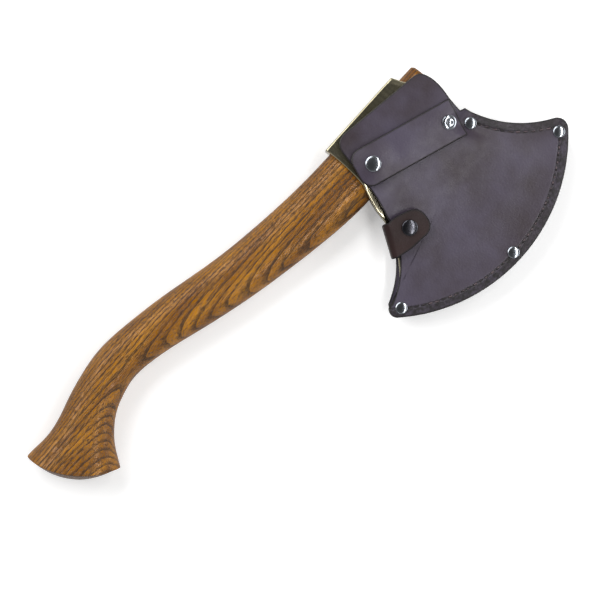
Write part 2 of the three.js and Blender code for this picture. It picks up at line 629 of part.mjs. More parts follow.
/** One run of stitching between two rivets, as a thin raised line on one face. */
function threadRun(points, side) {
  const curve = new THREE.CatmullRomCurve3(points.map(([x, y]) =>
    new THREE.Vector3(x, y, side * (outside(x, y) + GAP + THREAD_RADIUS))));
  const ring = new THREE.Shape();
  ring.absarc(0, 0, THREAD_RADIUS, 0, 2 * Math.PI, false);
  const steps = Math.ceil(curve.getLength() / 8);
  return solidOf(new THREE.ExtrudeGeometry(ring, { steps, extrudePath: curve, curveSegments: 3 }));
}
const stitchRadius = EDGE_ARC.radius - STITCH_IN;
const fromRivet = RIVET_CAP.radius + 1;
const rimRun = (from, to) => {
  const clear = THREE.MathUtils.radToDeg(fromRivet / stitchRadius);
  const ends = [from - clear, to + clear];
  return Array.from({ length: 8 }, (_, k) => {
    const a = degToRad(ends[0] + ((ends[1] - ends[0]) * k) / 7);
    return [EDGE_ARC.x + stitchRadius * Math.cos(a), EDGE_ARC.y + stitchRadius * Math.sin(a)];
  });
};
const seamRun = () => {
  const radius = SEAM_ARC.radius + STITCH_IN;
  const ends = [EDGE_RIVETS.neck[1] - fromRivet, EDGE_RIVETS.toe[1] + fromRivet + 2];
  return Array.from({ length: 8 }, (_, k) => onSeam(ends[0] + ((ends[1] - ends[0]) * k) / 7, radius));
};
const RUNS = { top: seamRun(), fore: rimRun(-48.8, -92.5), aft: rimRun(-92.5, -134.8) };
for (const [name, points] of Object.entries(RUNS)) {
  add(sheath, `thread_front_${name}`, threadRun(points, 1), threadFinish);
  add(sheath, `thread_back_${name}`, threadRun(points, -1), threadFinish);
}

// the belt strap's fixed end, and the lower halves of both snaps
const strapRoot = strapPiece(STRAP_BEND + GAP / 2, STRAP_TAIL, false);
const strapTop = GAP + STRAP_LEATHER;
add(sheath, "belt_strap_root", cut(strapRoot, [
  drill(SHANK + GAP, -8, 12, beltRivet),
  faceSeat(STRAP_CAP.radius, strapTop, beltRivet),
]), leather);
const overStrap = seat(BELT_RIVET, 1, strapTop);
add(sheath, "belt_rivet_cap", rivetCap(STRAP_CAP, SHANK, strapTop + LEATHER, overStrap), nickel);
add(sheath, "belt_rivet_burr", burr(SHANK, beltRivet), nickel);
for (const [name, matrix] of [["belt", beltSnap], ["keeper", keeperSnap]]) {
  add(sheath, `${name}_snap_post`, snapPost(matrix), nickel);
  add(sheath, `${name}_snap_stud`, snapStud(matrix), nickel);
}

// the keeper's fixed part on the back, and its fold round the open edge
const behind = (x, y) => -outside(x, y) - GAP;
const keeperRoot = prism(keeperRootOutline(), -40, 0, 4)
  .intersect(slab((x, y) => behind(x, y) - KEEPER_LEATHER, behind));
add(sheath, "keeper_strap_root", cut(keeperRoot, [
  drill(SHANK + GAP, -8, 12, keeperRivet),
  faceSeat(RIVET_CAP.radius, GAP + KEEPER_LEATHER, keeperRivet),
]), keeperLeather);
const onKeeper = seat(KEEPER_RIVET, -1, GAP + KEEPER_LEATHER);
add(sheath, "keeper_rivet_cap", rivetCap(RIVET_CAP, SHANK, GAP + KEEPER_LEATHER + LEATHER, onKeeper), nickel);
add(sheath, "keeper_rivet_burr", burr(SHANK, keeperRivet), nickel);
const keeperTop = (x, y) => outside(x, y) + SNAP_LIFT + KEEPER_LEATHER;
add(sheath, "keeper_strap_fold", prism(keeperFoldOutline(), -40, 40)
  .intersect(slab((x, y) => behind(x, y) - KEEPER_LEATHER, keeperTop)), keeperLeather);

/** The upper half of a snap, and the leather round it with a hole for the cap's shank. */
function snapTop(group, name, leatherPiece, thickness, matrix, material, capFinish) {
  const top = SNAP_LIFT + thickness;
  const over = matrix.clone().multiply(new THREE.Matrix4().makeTranslation(0, 0, top));
  const reach = thickness + GAP + 0.4;
  add(group, `${name}_strap_flap`, cut(leatherPiece, [
    drill(SNAP_POST + GAP, -2, 16, matrix),
    faceSeat(SNAP_CAP.radius, top, matrix),
    drill(SOCKET.radius + GAP, -2, SNAP_LIFT, matrix),
  ]), material);
  add(group, `${name}_snap_cap`, rivetCap(SNAP_CAP, SNAP_POST, reach, over), capFinish);
  add(group, `${name}_snap_socket`, snapSocket(matrix), nickel);
}

// ---------------------------------------------------------------- the two straps' moving parts
// the belt strap bends about a sloping line that lies just above its upper face all the way across
const beltStrap = new THREE.Group();
const bendTop = (w) => outside(...strapPoint(STRAP_BEND, w)) + strapTop;
const bendSlope = (bendTop(STRAP_WIDTH / 2) - bendTop(-STRAP_WIDTH / 2)) / STRAP_WIDTH;
const bendRise = Math.max(...[-0.5, -0.25, 0, 0.25, 0.5]
  .map((share) => bendTop(share * STRAP_WIDTH) - bendSlope * share * STRAP_WIDTH));
beltStrap.position.set(...strapPoint(STRAP_BEND, 0), bendRise + GAP);
snapTop(beltStrap, "belt", strapPiece(-STRAP_END, STRAP_BEND - GAP / 2, true), STRAP_LEATHER, beltSnap,
  leather, nickel);

const keeperStrap = new THREE.Group();
const foldMiddle = keeperPoint(KEEPER_LEATHER, mid);
const foldLow = behind(...foldMiddle) - KEEPER_LEATHER;
keeperStrap.position.set(...foldMiddle, (foldLow + keeperTop(...foldMiddle)) / 2);
const keeperFlap = prism(keeperFlapOutline(), 0, 40, 4)
  .intersect(slab((x, y) => keeperTop(x, y) - KEEPER_LEATHER, keeperTop));
snapTop(keeperStrap, "keeper", keeperFlap, KEEPER_LEATHER, keeperSnap, keeperLeather, blackened);

// ---------------------------------------------------------------- the whole, stood on its lowest face
const whole = new THREE.Group();
whole.add(hatchet, sheath);
sheath.add(beltStrap, keeperStrap);
const box = new THREE.Box3().setFromObject(whole, true);
const centre = box.getCenter(new THREE.Vector3());
whole.position.set(-centre.x, -centre.y, -box.min.z);

export default whole;
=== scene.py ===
"""A hatchet with a broad bearded blade, lying in its riveted leather sheath.

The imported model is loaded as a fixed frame. Every shape here is worked out in millimetres with X up the
handle, Y to the poll, Z the thickness and the middle of the eye as origin, and is moved into the row frame
when its mesh is made.
"""
from __future__ import annotations

import logging
import math
from dataclasses import dataclass, field
from enum import Enum
from typing import Callable, Sequence

import bpy
import numpy as np
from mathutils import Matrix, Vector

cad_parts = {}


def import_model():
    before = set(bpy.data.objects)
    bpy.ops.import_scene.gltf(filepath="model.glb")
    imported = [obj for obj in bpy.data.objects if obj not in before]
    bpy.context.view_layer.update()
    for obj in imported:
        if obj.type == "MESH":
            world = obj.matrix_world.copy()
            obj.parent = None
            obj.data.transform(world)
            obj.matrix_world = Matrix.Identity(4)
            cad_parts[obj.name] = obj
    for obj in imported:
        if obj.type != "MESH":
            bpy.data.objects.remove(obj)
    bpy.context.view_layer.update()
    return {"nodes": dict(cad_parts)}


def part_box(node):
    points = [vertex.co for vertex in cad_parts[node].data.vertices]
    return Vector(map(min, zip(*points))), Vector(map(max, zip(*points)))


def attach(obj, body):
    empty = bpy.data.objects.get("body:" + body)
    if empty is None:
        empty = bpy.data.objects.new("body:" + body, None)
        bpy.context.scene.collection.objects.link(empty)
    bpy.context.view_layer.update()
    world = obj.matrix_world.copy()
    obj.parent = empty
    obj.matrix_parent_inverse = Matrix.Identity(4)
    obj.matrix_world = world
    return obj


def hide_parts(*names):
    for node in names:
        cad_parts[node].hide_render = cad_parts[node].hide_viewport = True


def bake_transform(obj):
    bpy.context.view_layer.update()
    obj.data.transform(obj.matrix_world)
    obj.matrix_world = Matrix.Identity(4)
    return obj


LOG = logging.getLogger("hatchet")
MM = 0.001  # metres in a millimetre
GAP = 0.3  # room between pieces that touch
FULL = 2 * math.pi  # one turn
AXIS = 0.02  # the radius at which a turned profile counts as having reached its axis
ARC_STEP = 0.5  # at most this far between the points of an arc
BAND = "band"  # name of the attribute that is 1 on a tooled border and 0 elsewhere
EDGE = "edge"  # name of the attribute that holds a point's distance from its piece's edge, in mm

Array = np.ndarray
Place = Callable[[Array, float, float], Array]


class Face(Enum):
    """The two faces of the sheath."""

    FRONT = 1
    BACK = -1


class Body(Enum):
    """The bodies that pieces ride on."""

    HATCHET = "hatchet"
    SHEATH = "sheath"
    BELT = "belt_strap"
    KEEPER = "keeper_strap"


# ---------------------------------------------------------------- small sums
def smooth(value: Array | float, low: float, high: float) -> Array:
    """Smooth step: 0 below low, 1 above high, and 3t squared less 2t cubed between them."""
    t = np.clip((np.asarray(value, float) - low) / (high - low), 0.0, 1.0)
    return t * t * (3 - 2 * t)


def linear(colour: str) -> tuple[float, float, float, float]:
    """Turns an sRGB colour into linear light.

    Args:
        colour: six hex digits.

    Returns:
        Red, green, blue and an alpha of 1.
    """
    parts = [int(colour[i:i + 2], 16) / 255 for i in (0, 2, 4)]
    r, g, b = (p / 12.92 if p <= 0.04045 else ((p + 0.055) / 1.055) ** 2.4 for p in parts)
    return (r, g, b, 1.0)


def bezier(points: Sequence[Sequence[float]], count: int = 24) -> Array:
    """A Bezier curve of any degree, by repeated straight mixing of its control points.

    Args:
        points: the control points, two numbers each.
        count: how many points come back.

    Returns:
        One row for each point, from the first control point to the last.
    """
    t = np.linspace(0, 1, count)[:, None, None]
    level = np.broadcast_to(np.array(points, float), (count, len(points), 2))
    while level.shape[1] > 1:
        level = level[:, :-1] * (1 - t) + level[:, 1:] * t
    return level[:, 0]


def arc(centre: Sequence[float], radius: float, start: float, end: float) -> Array:
    """Points along a circle's arc: the centre, plus the radius times the cosine and sine of each angle.

    Args:
        centre: the circle's centre.
        radius: its radius.
        start: angle of the first point, in radians.
        end: angle of the last point, in radians.

    Returns:
        One row for each point.
    """
    a = np.linspace(start, end, max(6, int(abs(end - start) * radius / ARC_STEP)))
    return np.stack([centre[0] + radius * np.cos(a), centre[1] + radius * np.sin(a)], axis=1)


def angle_to(centre: Sequence[float], point: Sequence[float]) -> float:
    """Angle of the line from a centre to a point."""
    return math.atan2(point[1] - centre[1], point[0] - centre[0])


def crossing(a: Sequence[float], ra: float, b: Sequence[float], rb: float) -> Array:
    """Where two circles cross: as far along the line of their centres as Pythagoras gives, and then across.

    Args:
        a: centre of one circle.
        ra: its radius.
        b: centre of the other.
        rb: its radius.

    Returns:
        The crossing with the smaller y.
    """
    a, b = np.array(a, float), np.array(b, float)
    d = np.linalg.norm(b - a)
    along = (d * d + ra * ra - rb * rb) / (2 * d)
    across = math.sqrt(ra * ra - along * along)
    u = (b - a) / d
    return min((a + u * along + s * across * np.array([-u[1], u[0]]) for s in (1, -1)), key=lambda p: p[1])


def evened(points: Array, count: int) -> Array:
    """The closed line through points, taken again at equal steps along its length.

    Args:
        points: corners of the closed line, one row each.
        count: how many points come back.

    Returns:
        The new points, running counterclockwise.
    """
    loop = np.vstack([points, points[:1]])
    steps = np.linalg.norm(np.diff(loop, axis=0), axis=1)
    keep = np.append(steps > 1e-6, True)
    loop = loop[keep]
    length = np.append(0, np.cumsum(np.linalg.norm(np.diff(loop, axis=0), axis=1)))
    at = np.linspace(0, length[-1], count, endpoint=False)
    even = np.stack([np.interp(at, length, loop[:, k]) for k in (0, 1)], axis=1)
    x, y = even.T
    area = np.sum(x * np.roll(y, -1) - np.roll(x, -1) * y)
    return even if area > 0 else even[::-1]


def inward_normals(outline: Array) -> Array:
    """Unit normals into a closed line: the chord between a point's neighbours, a quarter turn to the left.

    Args:
        outline: points of the line, counterclockwise.

    Returns:
        One normal for each point.
    """
    chord = np.roll(outline, -1, axis=0) - np.roll(outline, 1, axis=0)
    normal = np.stack([-chord[:, 1], chord[:, 0]], axis=1)
    return normal / np.linalg.norm(normal, axis=1, keepdims=True)


def distance_to(outline: Array, points: Array, limit: float = 20.0, block: int = 8000) -> Array:
    """Distance of each point from the nearest of every second point of a line.

    Args:
        outline: points of the line.
        points: the points to measure from.
        limit: distances past this are cut down to it.
        block: how many points are measured at once, to spare memory.

    Returns:
        One distance for each point.
    """
    line = outline[::2].astype(np.float32)
    found = [np.sqrt(((some[:, None] - line[None]) ** 2).sum(axis=2).min(axis=1))
             for some in np.array_split(points.astype(np.float32), max(1, len(points) // block))]
    return np.minimum(np.concatenate(found), limit)


def ring_faces(rings: int, count: int, wrap: bool = False) -> Array:
    """Quads between neighbouring rings of points, numbered ring after ring.

    Args:
        rings: how many rings.
        count: points in each ring.
        wrap: True to join the last ring to the first as well.

    Returns:
        Four point numbers for each quad.
    """
    r = np.arange(rings if wrap else rings - 1)[:, None] * count
    k = np.arange(count)[None, :]
    nxt = (k + 1) % count
    up = (r + count) % (rings * count)
    return np.stack([r + k, r + nxt, up + nxt, up + k], axis=-1).reshape(-1, 4)


def end_fans(rings: int, count: int) -> Array:
    """Triangles that close the first and the last ring to two middle points, numbered after all the rings.

    Args:
        rings: how many rings.
        count: points in each ring.

    Returns:
        Three point numbers for each triangle.
    """
    k = np.arange(count)
    nxt = (k + 1) % count
    last = (rings - 1) * count
    return np.vstack([
        np.stack([nxt, k, np.full(count, rings * count)], axis=1),
        np.stack([last + k, last + nxt, np.full(count, rings * count + 1)], axis=1),
    ])


def spline(stations: Array, t: Array) -> Array:
    """Natural cubic spline: a cubic between each two stations, with matching slope and curvature.

    Args:
        stations: one row for each whole number of t.
        t: places along the stations, from 0 to the last.

    Returns:
        One row for each place.
    """
    n = len(stations)
    system = np.eye(n) * 4
    system[0, 0] = system[-1, -1] = 1
    middle = np.arange(1, n - 1)
    system[middle, middle - 1] = system[middle, middle + 1] = 1
    right = np.zeros_like(stations)
    right[1:-1] = 6 * (stations[2:] - 2 * stations[1:-1] + stations[:-2])
    bend = np.linalg.solve(system, right)
    k = np.clip(np.floor(t).astype(int), 0, n - 2)
    f = (t - k)[:, None]
    g = 1 - f
    return (stations[k] * g + stations[k + 1] * f
            + bend[k] * (g ** 3 - g) / 6 + bend[k + 1] * (f ** 3 - f) / 6)


# ---------------------------------------------------------------- meshes
class Workshop:
    """Turns arrays in design millimetres into objects in the row frame."""

    def __init__(self) -> None:
        """Finds the eye's middle in the row frame: the neck rivet's middle less its design place."""
        low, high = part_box("rivet_neck_cap")
        neck = Sheath().rivet_places()["neck"]
        front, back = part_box("sheath_front_panel"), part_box("sheath_back_panel")
        self.origin = np.array([
            (low[0] + high[0]) / 2 / MM - neck[0],
            (low[1] + high[1]) / 2 / MM - neck[1],
            (back[0][2] + front[1][2]) / 2 / MM,
        ])

    def row(self, point: Sequence[float]) -> tuple[float, float, float]:
        """A design point in the row frame, in metres."""
        return tuple(float(v) for v in (np.array(point) + self.origin) * MM)

    def make(self, name: str, points: Array, faces: list[Array], edge: Array | None = None,
             smooth_angle: float = 40) -> bpy.types.Object:
        """Makes a mesh object with its faces outwards.

        Args:
            name: name of the piece.
            points: one row of x, y, z for each point, in design millimetres.
            faces: arrays of point numbers, three or four to a row.
            edge: distance of each point from the piece's edge, in millimetres.
            smooth_angle: faces that meet at less than this many degrees are shaded as one.

        Returns:
            The new object.
        """
        corners = [list(map(int, f)) for block in faces for f in block.tolist()]
        rows = (points + self.origin) * MM
        if self._volume(rows, faces) < 0:
            corners = [face[::-1] for face in corners]
        mesh = bpy.data.meshes.new(name)
        mesh.from_pydata(rows.tolist(), [], corners)
        mesh.update()
        if edge is not None:
            mesh.attributes.new(EDGE, "FLOAT", "POINT").data.foreach_set("value", edge.astype(np.float32))
        obj = bpy.data.objects.new(name, mesh)
        bpy.context.scene.collection.objects.link(obj)
        mesh.shade_smooth()
        mesh.set_sharp_from_angle(angle=math.radians(smooth_angle))
        return obj

    @staticmethod
    def _volume(points: Array, faces: list[Array]) -> float:
        """Six times the signed volume: over all triangles, one corner dotted with the cross of the others.

        Args:
            points: one row for each point.
            faces: arrays of point numbers.

        Returns:
            A number above 0 where the faces point outwards.
        """
        total = 0.0
        middle = points.mean(axis=0)
        for block in faces:
            p = points[block] - middle
            for k in range(1, block.shape[1] - 1):
                total += float(np.einsum("ij,ij->", p[:, 0], np.cross(p[:, k], p[:, k + 1])))
        return total

    @staticmethod
    def carve(obj: bpy.types.Object, cutters: Sequence[bpy.types.Object]) -> None:
        """Takes the cutters' shapes out of an object's mesh and removes the cutters.

        Args:
            obj: the object that is cut.
            cutters: closed solids.
        """
        for cutter in cutters:
            hole = obj.modifiers.new("carve", "BOOLEAN")
            hole.operation, hole.solver, hole.object = "DIFFERENCE", "EXACT", cutter
        bpy.context.view_layer.update()
        whole = obj.evaluated_get(bpy.context.evaluated_depsgraph_get())
        obj.data, old = bpy.data.meshes.new_from_object(whole), obj.data
        obj.modifiers.clear()
        bpy.data.meshes.remove(old)
        for cutter in cutters:
            mesh = cutter.data
            bpy.data.objects.remove(cutter)
            bpy.data.meshes.remove(mesh)

    def sheet(self, name: str, outline: Array, hub: Sequence[float], place: Place, roll: float,
              fine: float = 11.0, counts: tuple[int, int] = (22, 20),
              band: Callable[[Array, Array], Array] | None = None) -> bpy.types.Object:
        """A closed sheet over a flat outline.

        Rings of points shrink in straight lines from the outline to the hub on the upper face, and again on
        the lower face. At the edge the two faces are joined by two quarter rounds and a short straight wall.

        Args:
            name: name of the piece.
            outline: closed counterclockwise line that the hub can see all of.
            hub: the point where the rings close.
            place: turns flat points, a face (1 upper, -1 lower) and a share of the roll into design points.
            roll: radius of the quarter rounds.
            fine: width of the band of close rings inside the edge.
            counts: how many close rings and how many wide ones.
            band: gives each point its share of the tooled border, from x and y.

        Returns:
            The new object, with the distance from the edge in its attribute.
        """
        least_facing, most_close = 0.35, 0.6  # keep the rings in order beside the edge and on a short ray
        count = len(outline)
        reach = np.linalg.norm(outline - hub, axis=1, keepdims=True)
        towards = (np.array(hub) - outline) / reach
        facing = np.sum(towards * inward_normals(outline), axis=1)
        facing = sum(np.roll(facing, k) for k in range(-3, 4))[:, None] / 7  # evened over seven neighbours
        inset = roll / np.maximum(facing, least_facing)
        close = np.minimum(fine, most_close * reach)
        depths = [inset + (close - inset) * k / counts[0] for k in range(counts[0])]
        depths += [close + (reach - close) * k / counts[1] for k in range(counts[1])]
        turns = np.linspace(math.pi / 2, 0, 5)
        blocks, flats = [], []
        for side in (1, -1):
            flat = [(outline + towards * d, 0.0) for d in depths]
            rolled = [(outline + towards * inset * (1 - math.cos(a)), 1 - math.sin(a)) for a in turns[1:]]
            rolls = flat[::-1] + rolled
            for xy, share in (rolls if side == 1 else rolls[::-1]):
                blocks.append(place(xy, side, share))
                flats.append(xy)
        middle = [place(np.array([hub], float), side, 0.0) for side in (1, -1)]
        points = np.vstack(blocks + middle)
        half = distance_to(outline, np.vstack(flats[:len(flats) // 2]))
        edge = np.concatenate([half, half.reshape(-1, count)[::-1].ravel(), [float(reach.min())] * 2])
        rings = len(blocks)
        obj = self.make(name, points, [ring_faces(rings, count), end_fans(rings, count)], edge)
        if band is not None:
            share = band(points[:, 0], points[:, 1]).astype(np.float32)
            obj.data.attributes.new(BAND, "FLOAT", "POINT").data.foreach_set("value", share)
        return obj

    def loft(self, name: str, rings: Array, edge: Array | None = None,
             angle: float = 40) -> bpy.types.Object:
        """A solid through rings of points, closed with two fans.

        Args:
            name: name of the piece.
            rings: ring by point by x, y, z.
            edge: each ring's distance from the piece's end, in millimetres.
            angle: faces that meet at less than this many degrees are shaded as one.

        Returns:
            The new object.
        """
        count, sides = rings.shape[:2]
        points = np.vstack([rings.reshape(-1, 3), rings[0].mean(axis=0), rings[-1].mean(axis=0)])
        if edge is not None:
            edge = np.concatenate([np.repeat(edge, sides), edge[:1], edge[-1:]])
        return self.make(name, points, [ring_faces(count, sides), end_fans(count, sides)], edge, angle)

    def turned(self, name: str, profile: Array, seat: Array, sides: int = 64,
               hollow: bool = False) -> bpy.types.Object:
        """A turned piece: radius and height along the profile, carried round the seat's third axis.

        Args:
            name: name of the piece.
            profile: rows of radius and height. A solid one starts and ends near the axis.
            seat: 4 by 4 placing matrix in design millimetres.
            sides: points round the piece.
            hollow: True for a ring, whose profile is a closed line away from the axis.

        Returns:
            The new object.
        """
        a = np.linspace(0, FULL, sides, endpoint=False)
        r, z = profile[:, :1], profile[:, 1:]
        rings = np.stack([r * np.cos(a), r * np.sin(a), np.broadcast_to(z, (len(r), sides))], axis=-1)
        rings = rings @ seat[:3, :3].T + seat[:3, 3]
        if hollow:
            return self.make(name, rings.reshape(-1, 3), [ring_faces(len(r), sides, wrap=True)])
        return self.loft(name, rings)


def dress(obj: bpy.types.Object, material: bpy.types.Material) -> None:
    """Gives an object one material in place of those that it has."""
    obj.data.materials.clear()
    obj.data.materials.append(material)


def settle(obj: bpy.types.Object, body: Body, slot: str, nodes: Sequence[str],
           material: bpy.types.Material) -> None:
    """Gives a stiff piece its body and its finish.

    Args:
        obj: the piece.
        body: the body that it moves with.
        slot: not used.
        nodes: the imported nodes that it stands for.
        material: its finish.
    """
    dress(obj, material)
    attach(obj, body.value)
    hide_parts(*nodes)
    LOG.info("%s: %d faces on %s", obj.name, len(obj.data.polygons), body.value)


def span(obj: bpy.types.Object, bodies: tuple[Body, Body], ends: tuple[Sequence[float], Sequence[float]],
         nodes: Sequence[str], material: bpy.types.Material) -> None:
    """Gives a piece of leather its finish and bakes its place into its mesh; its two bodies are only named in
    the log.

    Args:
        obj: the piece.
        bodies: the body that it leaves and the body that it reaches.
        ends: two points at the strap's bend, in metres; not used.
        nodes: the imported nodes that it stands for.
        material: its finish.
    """
    dress(obj, material)
    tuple(ends[0])
    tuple(ends[1])
    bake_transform(obj)
    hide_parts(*nodes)
    LOG.info("%s: %d faces from %s to %s", obj.name, len(obj.data.polygons), bodies[0].value, bodies[1].value)


# ---------------------------------------------------------------- finishes
def add(tree: bpy.types.NodeTree, kind: str, inputs: dict | None = None,
        stops: Sequence[tuple[float, Sequence[float]]] = (), **settings: object) -> bpy.types.Node:
    """Adds a node with its settings and links.

    Args:
        tree: the node tree.
        kind: the node's type.
        inputs: for each input's name or number, its value or the output that feeds it.
        stops: places and colours of a colour ramp.
        settings: the node's own properties.

    Returns:
        The new node.
    """
    made = tree.nodes.new(kind)
    for name, value in settings.items():
        setattr(made, name, value)
    for key, value in (inputs or {}).items():
        if isinstance(value, bpy.types.NodeSocket):
            tree.links.new(value, made.inputs[key])
        else:
            made.inputs[key].default_value = value
    if stops:
        elements = made.color_ramp.elements
        while len(elements) < len(stops):
            elements.new(0.5)
        for element, (position, colour) in zip(elements, stops):
            element.position, element.color = position, colour
    return made


def grey(level: float) -> tuple[float, float, float, float]:
    """A linear grey for a ramp that carries a number."""
    return (level, level, level, 1.0)


def blank(name: str) -> tuple[bpy.types.Material, bpy.types.NodeTree]:
    """A material with an empty node tree.

    Args:
        name: the material's name.

    Returns:
        The material and its tree.
    """
    material = bpy.data.materials.new(name)
    material.use_nodes = True
    material.node_tree.nodes.clear()
    return material, material.node_tree


def finish_surface(tree: bpy.types.NodeTree, inputs: dict) -> None:
    """Adds the surface shader with its inputs and joins it to the output."""
    shader = add(tree, "ShaderNodeBsdfPrincipled", inputs)
    add(tree, "ShaderNodeOutputMaterial", {"Surface": shader.outputs[0]})


@dataclass(frozen=True)
class OiledAsh:
    """Ash, sanded and oiled: open pores show as fine dark dashes along the grain, in bands a year apart."""

    light: str = "b3781c"
    mid: str = "82500a"
    pore: str = "1e1002"
    end: str = "4a2e10"
    ring_mm: float = 2.7  # width of one year's growth
    layers: tuple[float, float, float] = (0.012, 0.70, -0.71)  # the years' layers face this way
    wander: tuple[float, float, float] = (9.0, 60.0, 60.0)  # waves in a metre, slow along the grain
    waver: float = 1.7  # how far the layers wander, in years
    early: float = 0.55  # share of a year's growth that is open, early wood
    crowding: float = 0.13  # how much closer the pores stand in it
    pore_mm: float = 0.36  # pores are 0.3 mm wide, drawn wider so that they show
    pore_length_mm: float = 7.0
    pore_levels: tuple[float, float] = (0.50, 0.60)  # noise at which a pore starts and is whole
    early_shade: float = 0.35
    pore_shade: float = 0.8
    end_shade: float = 0.75
    end_mm: float = 1.5  # how far end grain darkens the wood
    roughness: float = 0.27
    pore_roughness: float = 0.25  # more than the wood's
    ior: float = 1.42

    def material(self) -> bpy.types.Material:
        """Builds the material: a sawtooth over the layers crowds the pores, which are stretched along X.

        Returns:
            The new material.
        """
        material, tree = blank("oiled ash")
        place = add(tree, "ShaderNodeTexCoord").outputs["Object"]
        wander = add(tree, "ShaderNodeMapping", {"Vector": place, "Scale": self.wander})
        drift = add(tree, "ShaderNodeTexNoise", {"Vector": wander.outputs[0], "Scale": 1.0, "Detail": 3.0})
        face = tuple(v * 1000 / self.ring_mm for v in self.layers)
        depth = add(tree, "ShaderNodeVectorMath", {0: place, 1: face}, operation="DOT_PRODUCT")
        bent = add(tree, "ShaderNodeMath",
                   {0: drift.outputs["Fac"], 1: self.waver, 2: depth.outputs["Value"]},
                   operation="MULTIPLY_ADD")
        year = add(tree, "ShaderNodeMath", {0: bent.outputs[0]}, operation="FRACT")
        early = add(tree, "ShaderNodeMapRange",
                    {"Value": year.outputs[0], "From Min": self.early, "From Max": 0.0},
                    interpolation_type="SMOOTHSTEP")
        stretch = add(tree, "ShaderNodeMapping", {"Vector": place, "Scale": (
            1000 / self.pore_length_mm, 1000 / self.pore_mm, 1000 / self.pore_mm)})
        pores = add(tree, "ShaderNodeTexNoise",
                    {"Vector": stretch.outputs[0], "Scale": 1.0, "Detail": 2.0, "Roughness": 0.6})
        dense = add(tree, "ShaderNodeMath",
                    {0: early.outputs[0], 1: self.crowding, 2: pores.outputs["Fac"]},
                    operation="MULTIPLY_ADD")
        dash = add(tree, "ShaderNodeMapRange", {"Value": dense.outputs[0],
                   "From Min": self.pore_levels[0], "From Max": self.pore_levels[1]})
        cloud = add(tree, "ShaderNodeTexNoise", {"Vector": wander.outputs[0], "Scale": 1.6, "Detail": 3.0})
        tone = add(tree, "ShaderNodeValToRGB", {"Fac": cloud.outputs["Fac"]},
                   stops=[(0.35, linear(self.mid)), (0.68, linear(self.light))])
        shade = add(tree, "ShaderNodeMath", {0: early.outputs[0], 1: self.early_shade}, operation="MULTIPLY")
        banded = add(tree, "ShaderNodeMix", {0: shade.outputs[0], 6: tone.outputs[0], 7: linear(self.pore)},
                     data_type="RGBA")
        part = add(tree, "ShaderNodeMath", {0: dash.outputs[0], 1: self.pore_shade}, operation="MULTIPLY")
        wood = add(tree, "ShaderNodeMix", {0: part.outputs[0], 6: banded.outputs[2], 7: linear(self.pore)},
                   data_type="RGBA")
        edge = add(tree, "ShaderNodeAttribute", attribute_name=EDGE)
        grain = add(tree, "ShaderNodeMapRange", {"Value": edge.outputs["Fac"], "From Min": 0.0,
                    "From Max": self.end_mm, "To Min": self.end_shade, "To Max": 0.0})
        ended = add(tree, "ShaderNodeMix", {0: grain.outputs[0], 6: wood.outputs[2], 7: linear(self.end)},
                    data_type="RGBA")
        rough = add(tree, "ShaderNodeMapRange", {"Value": dash.outputs[0], "To Min": self.roughness,
                    "To Max": self.roughness + self.pore_roughness})
        bump = add(tree, "ShaderNodeBump", {"Height": dash.outputs[0], "Strength": 0.4, "Distance": 0.0003},
                   invert=True)
        finish_surface(tree, {"Base Color": ended.outputs[2], "Roughness": rough.outputs[0],
                              "Normal": bump.outputs[0], "IOR": self.ior})
        return material


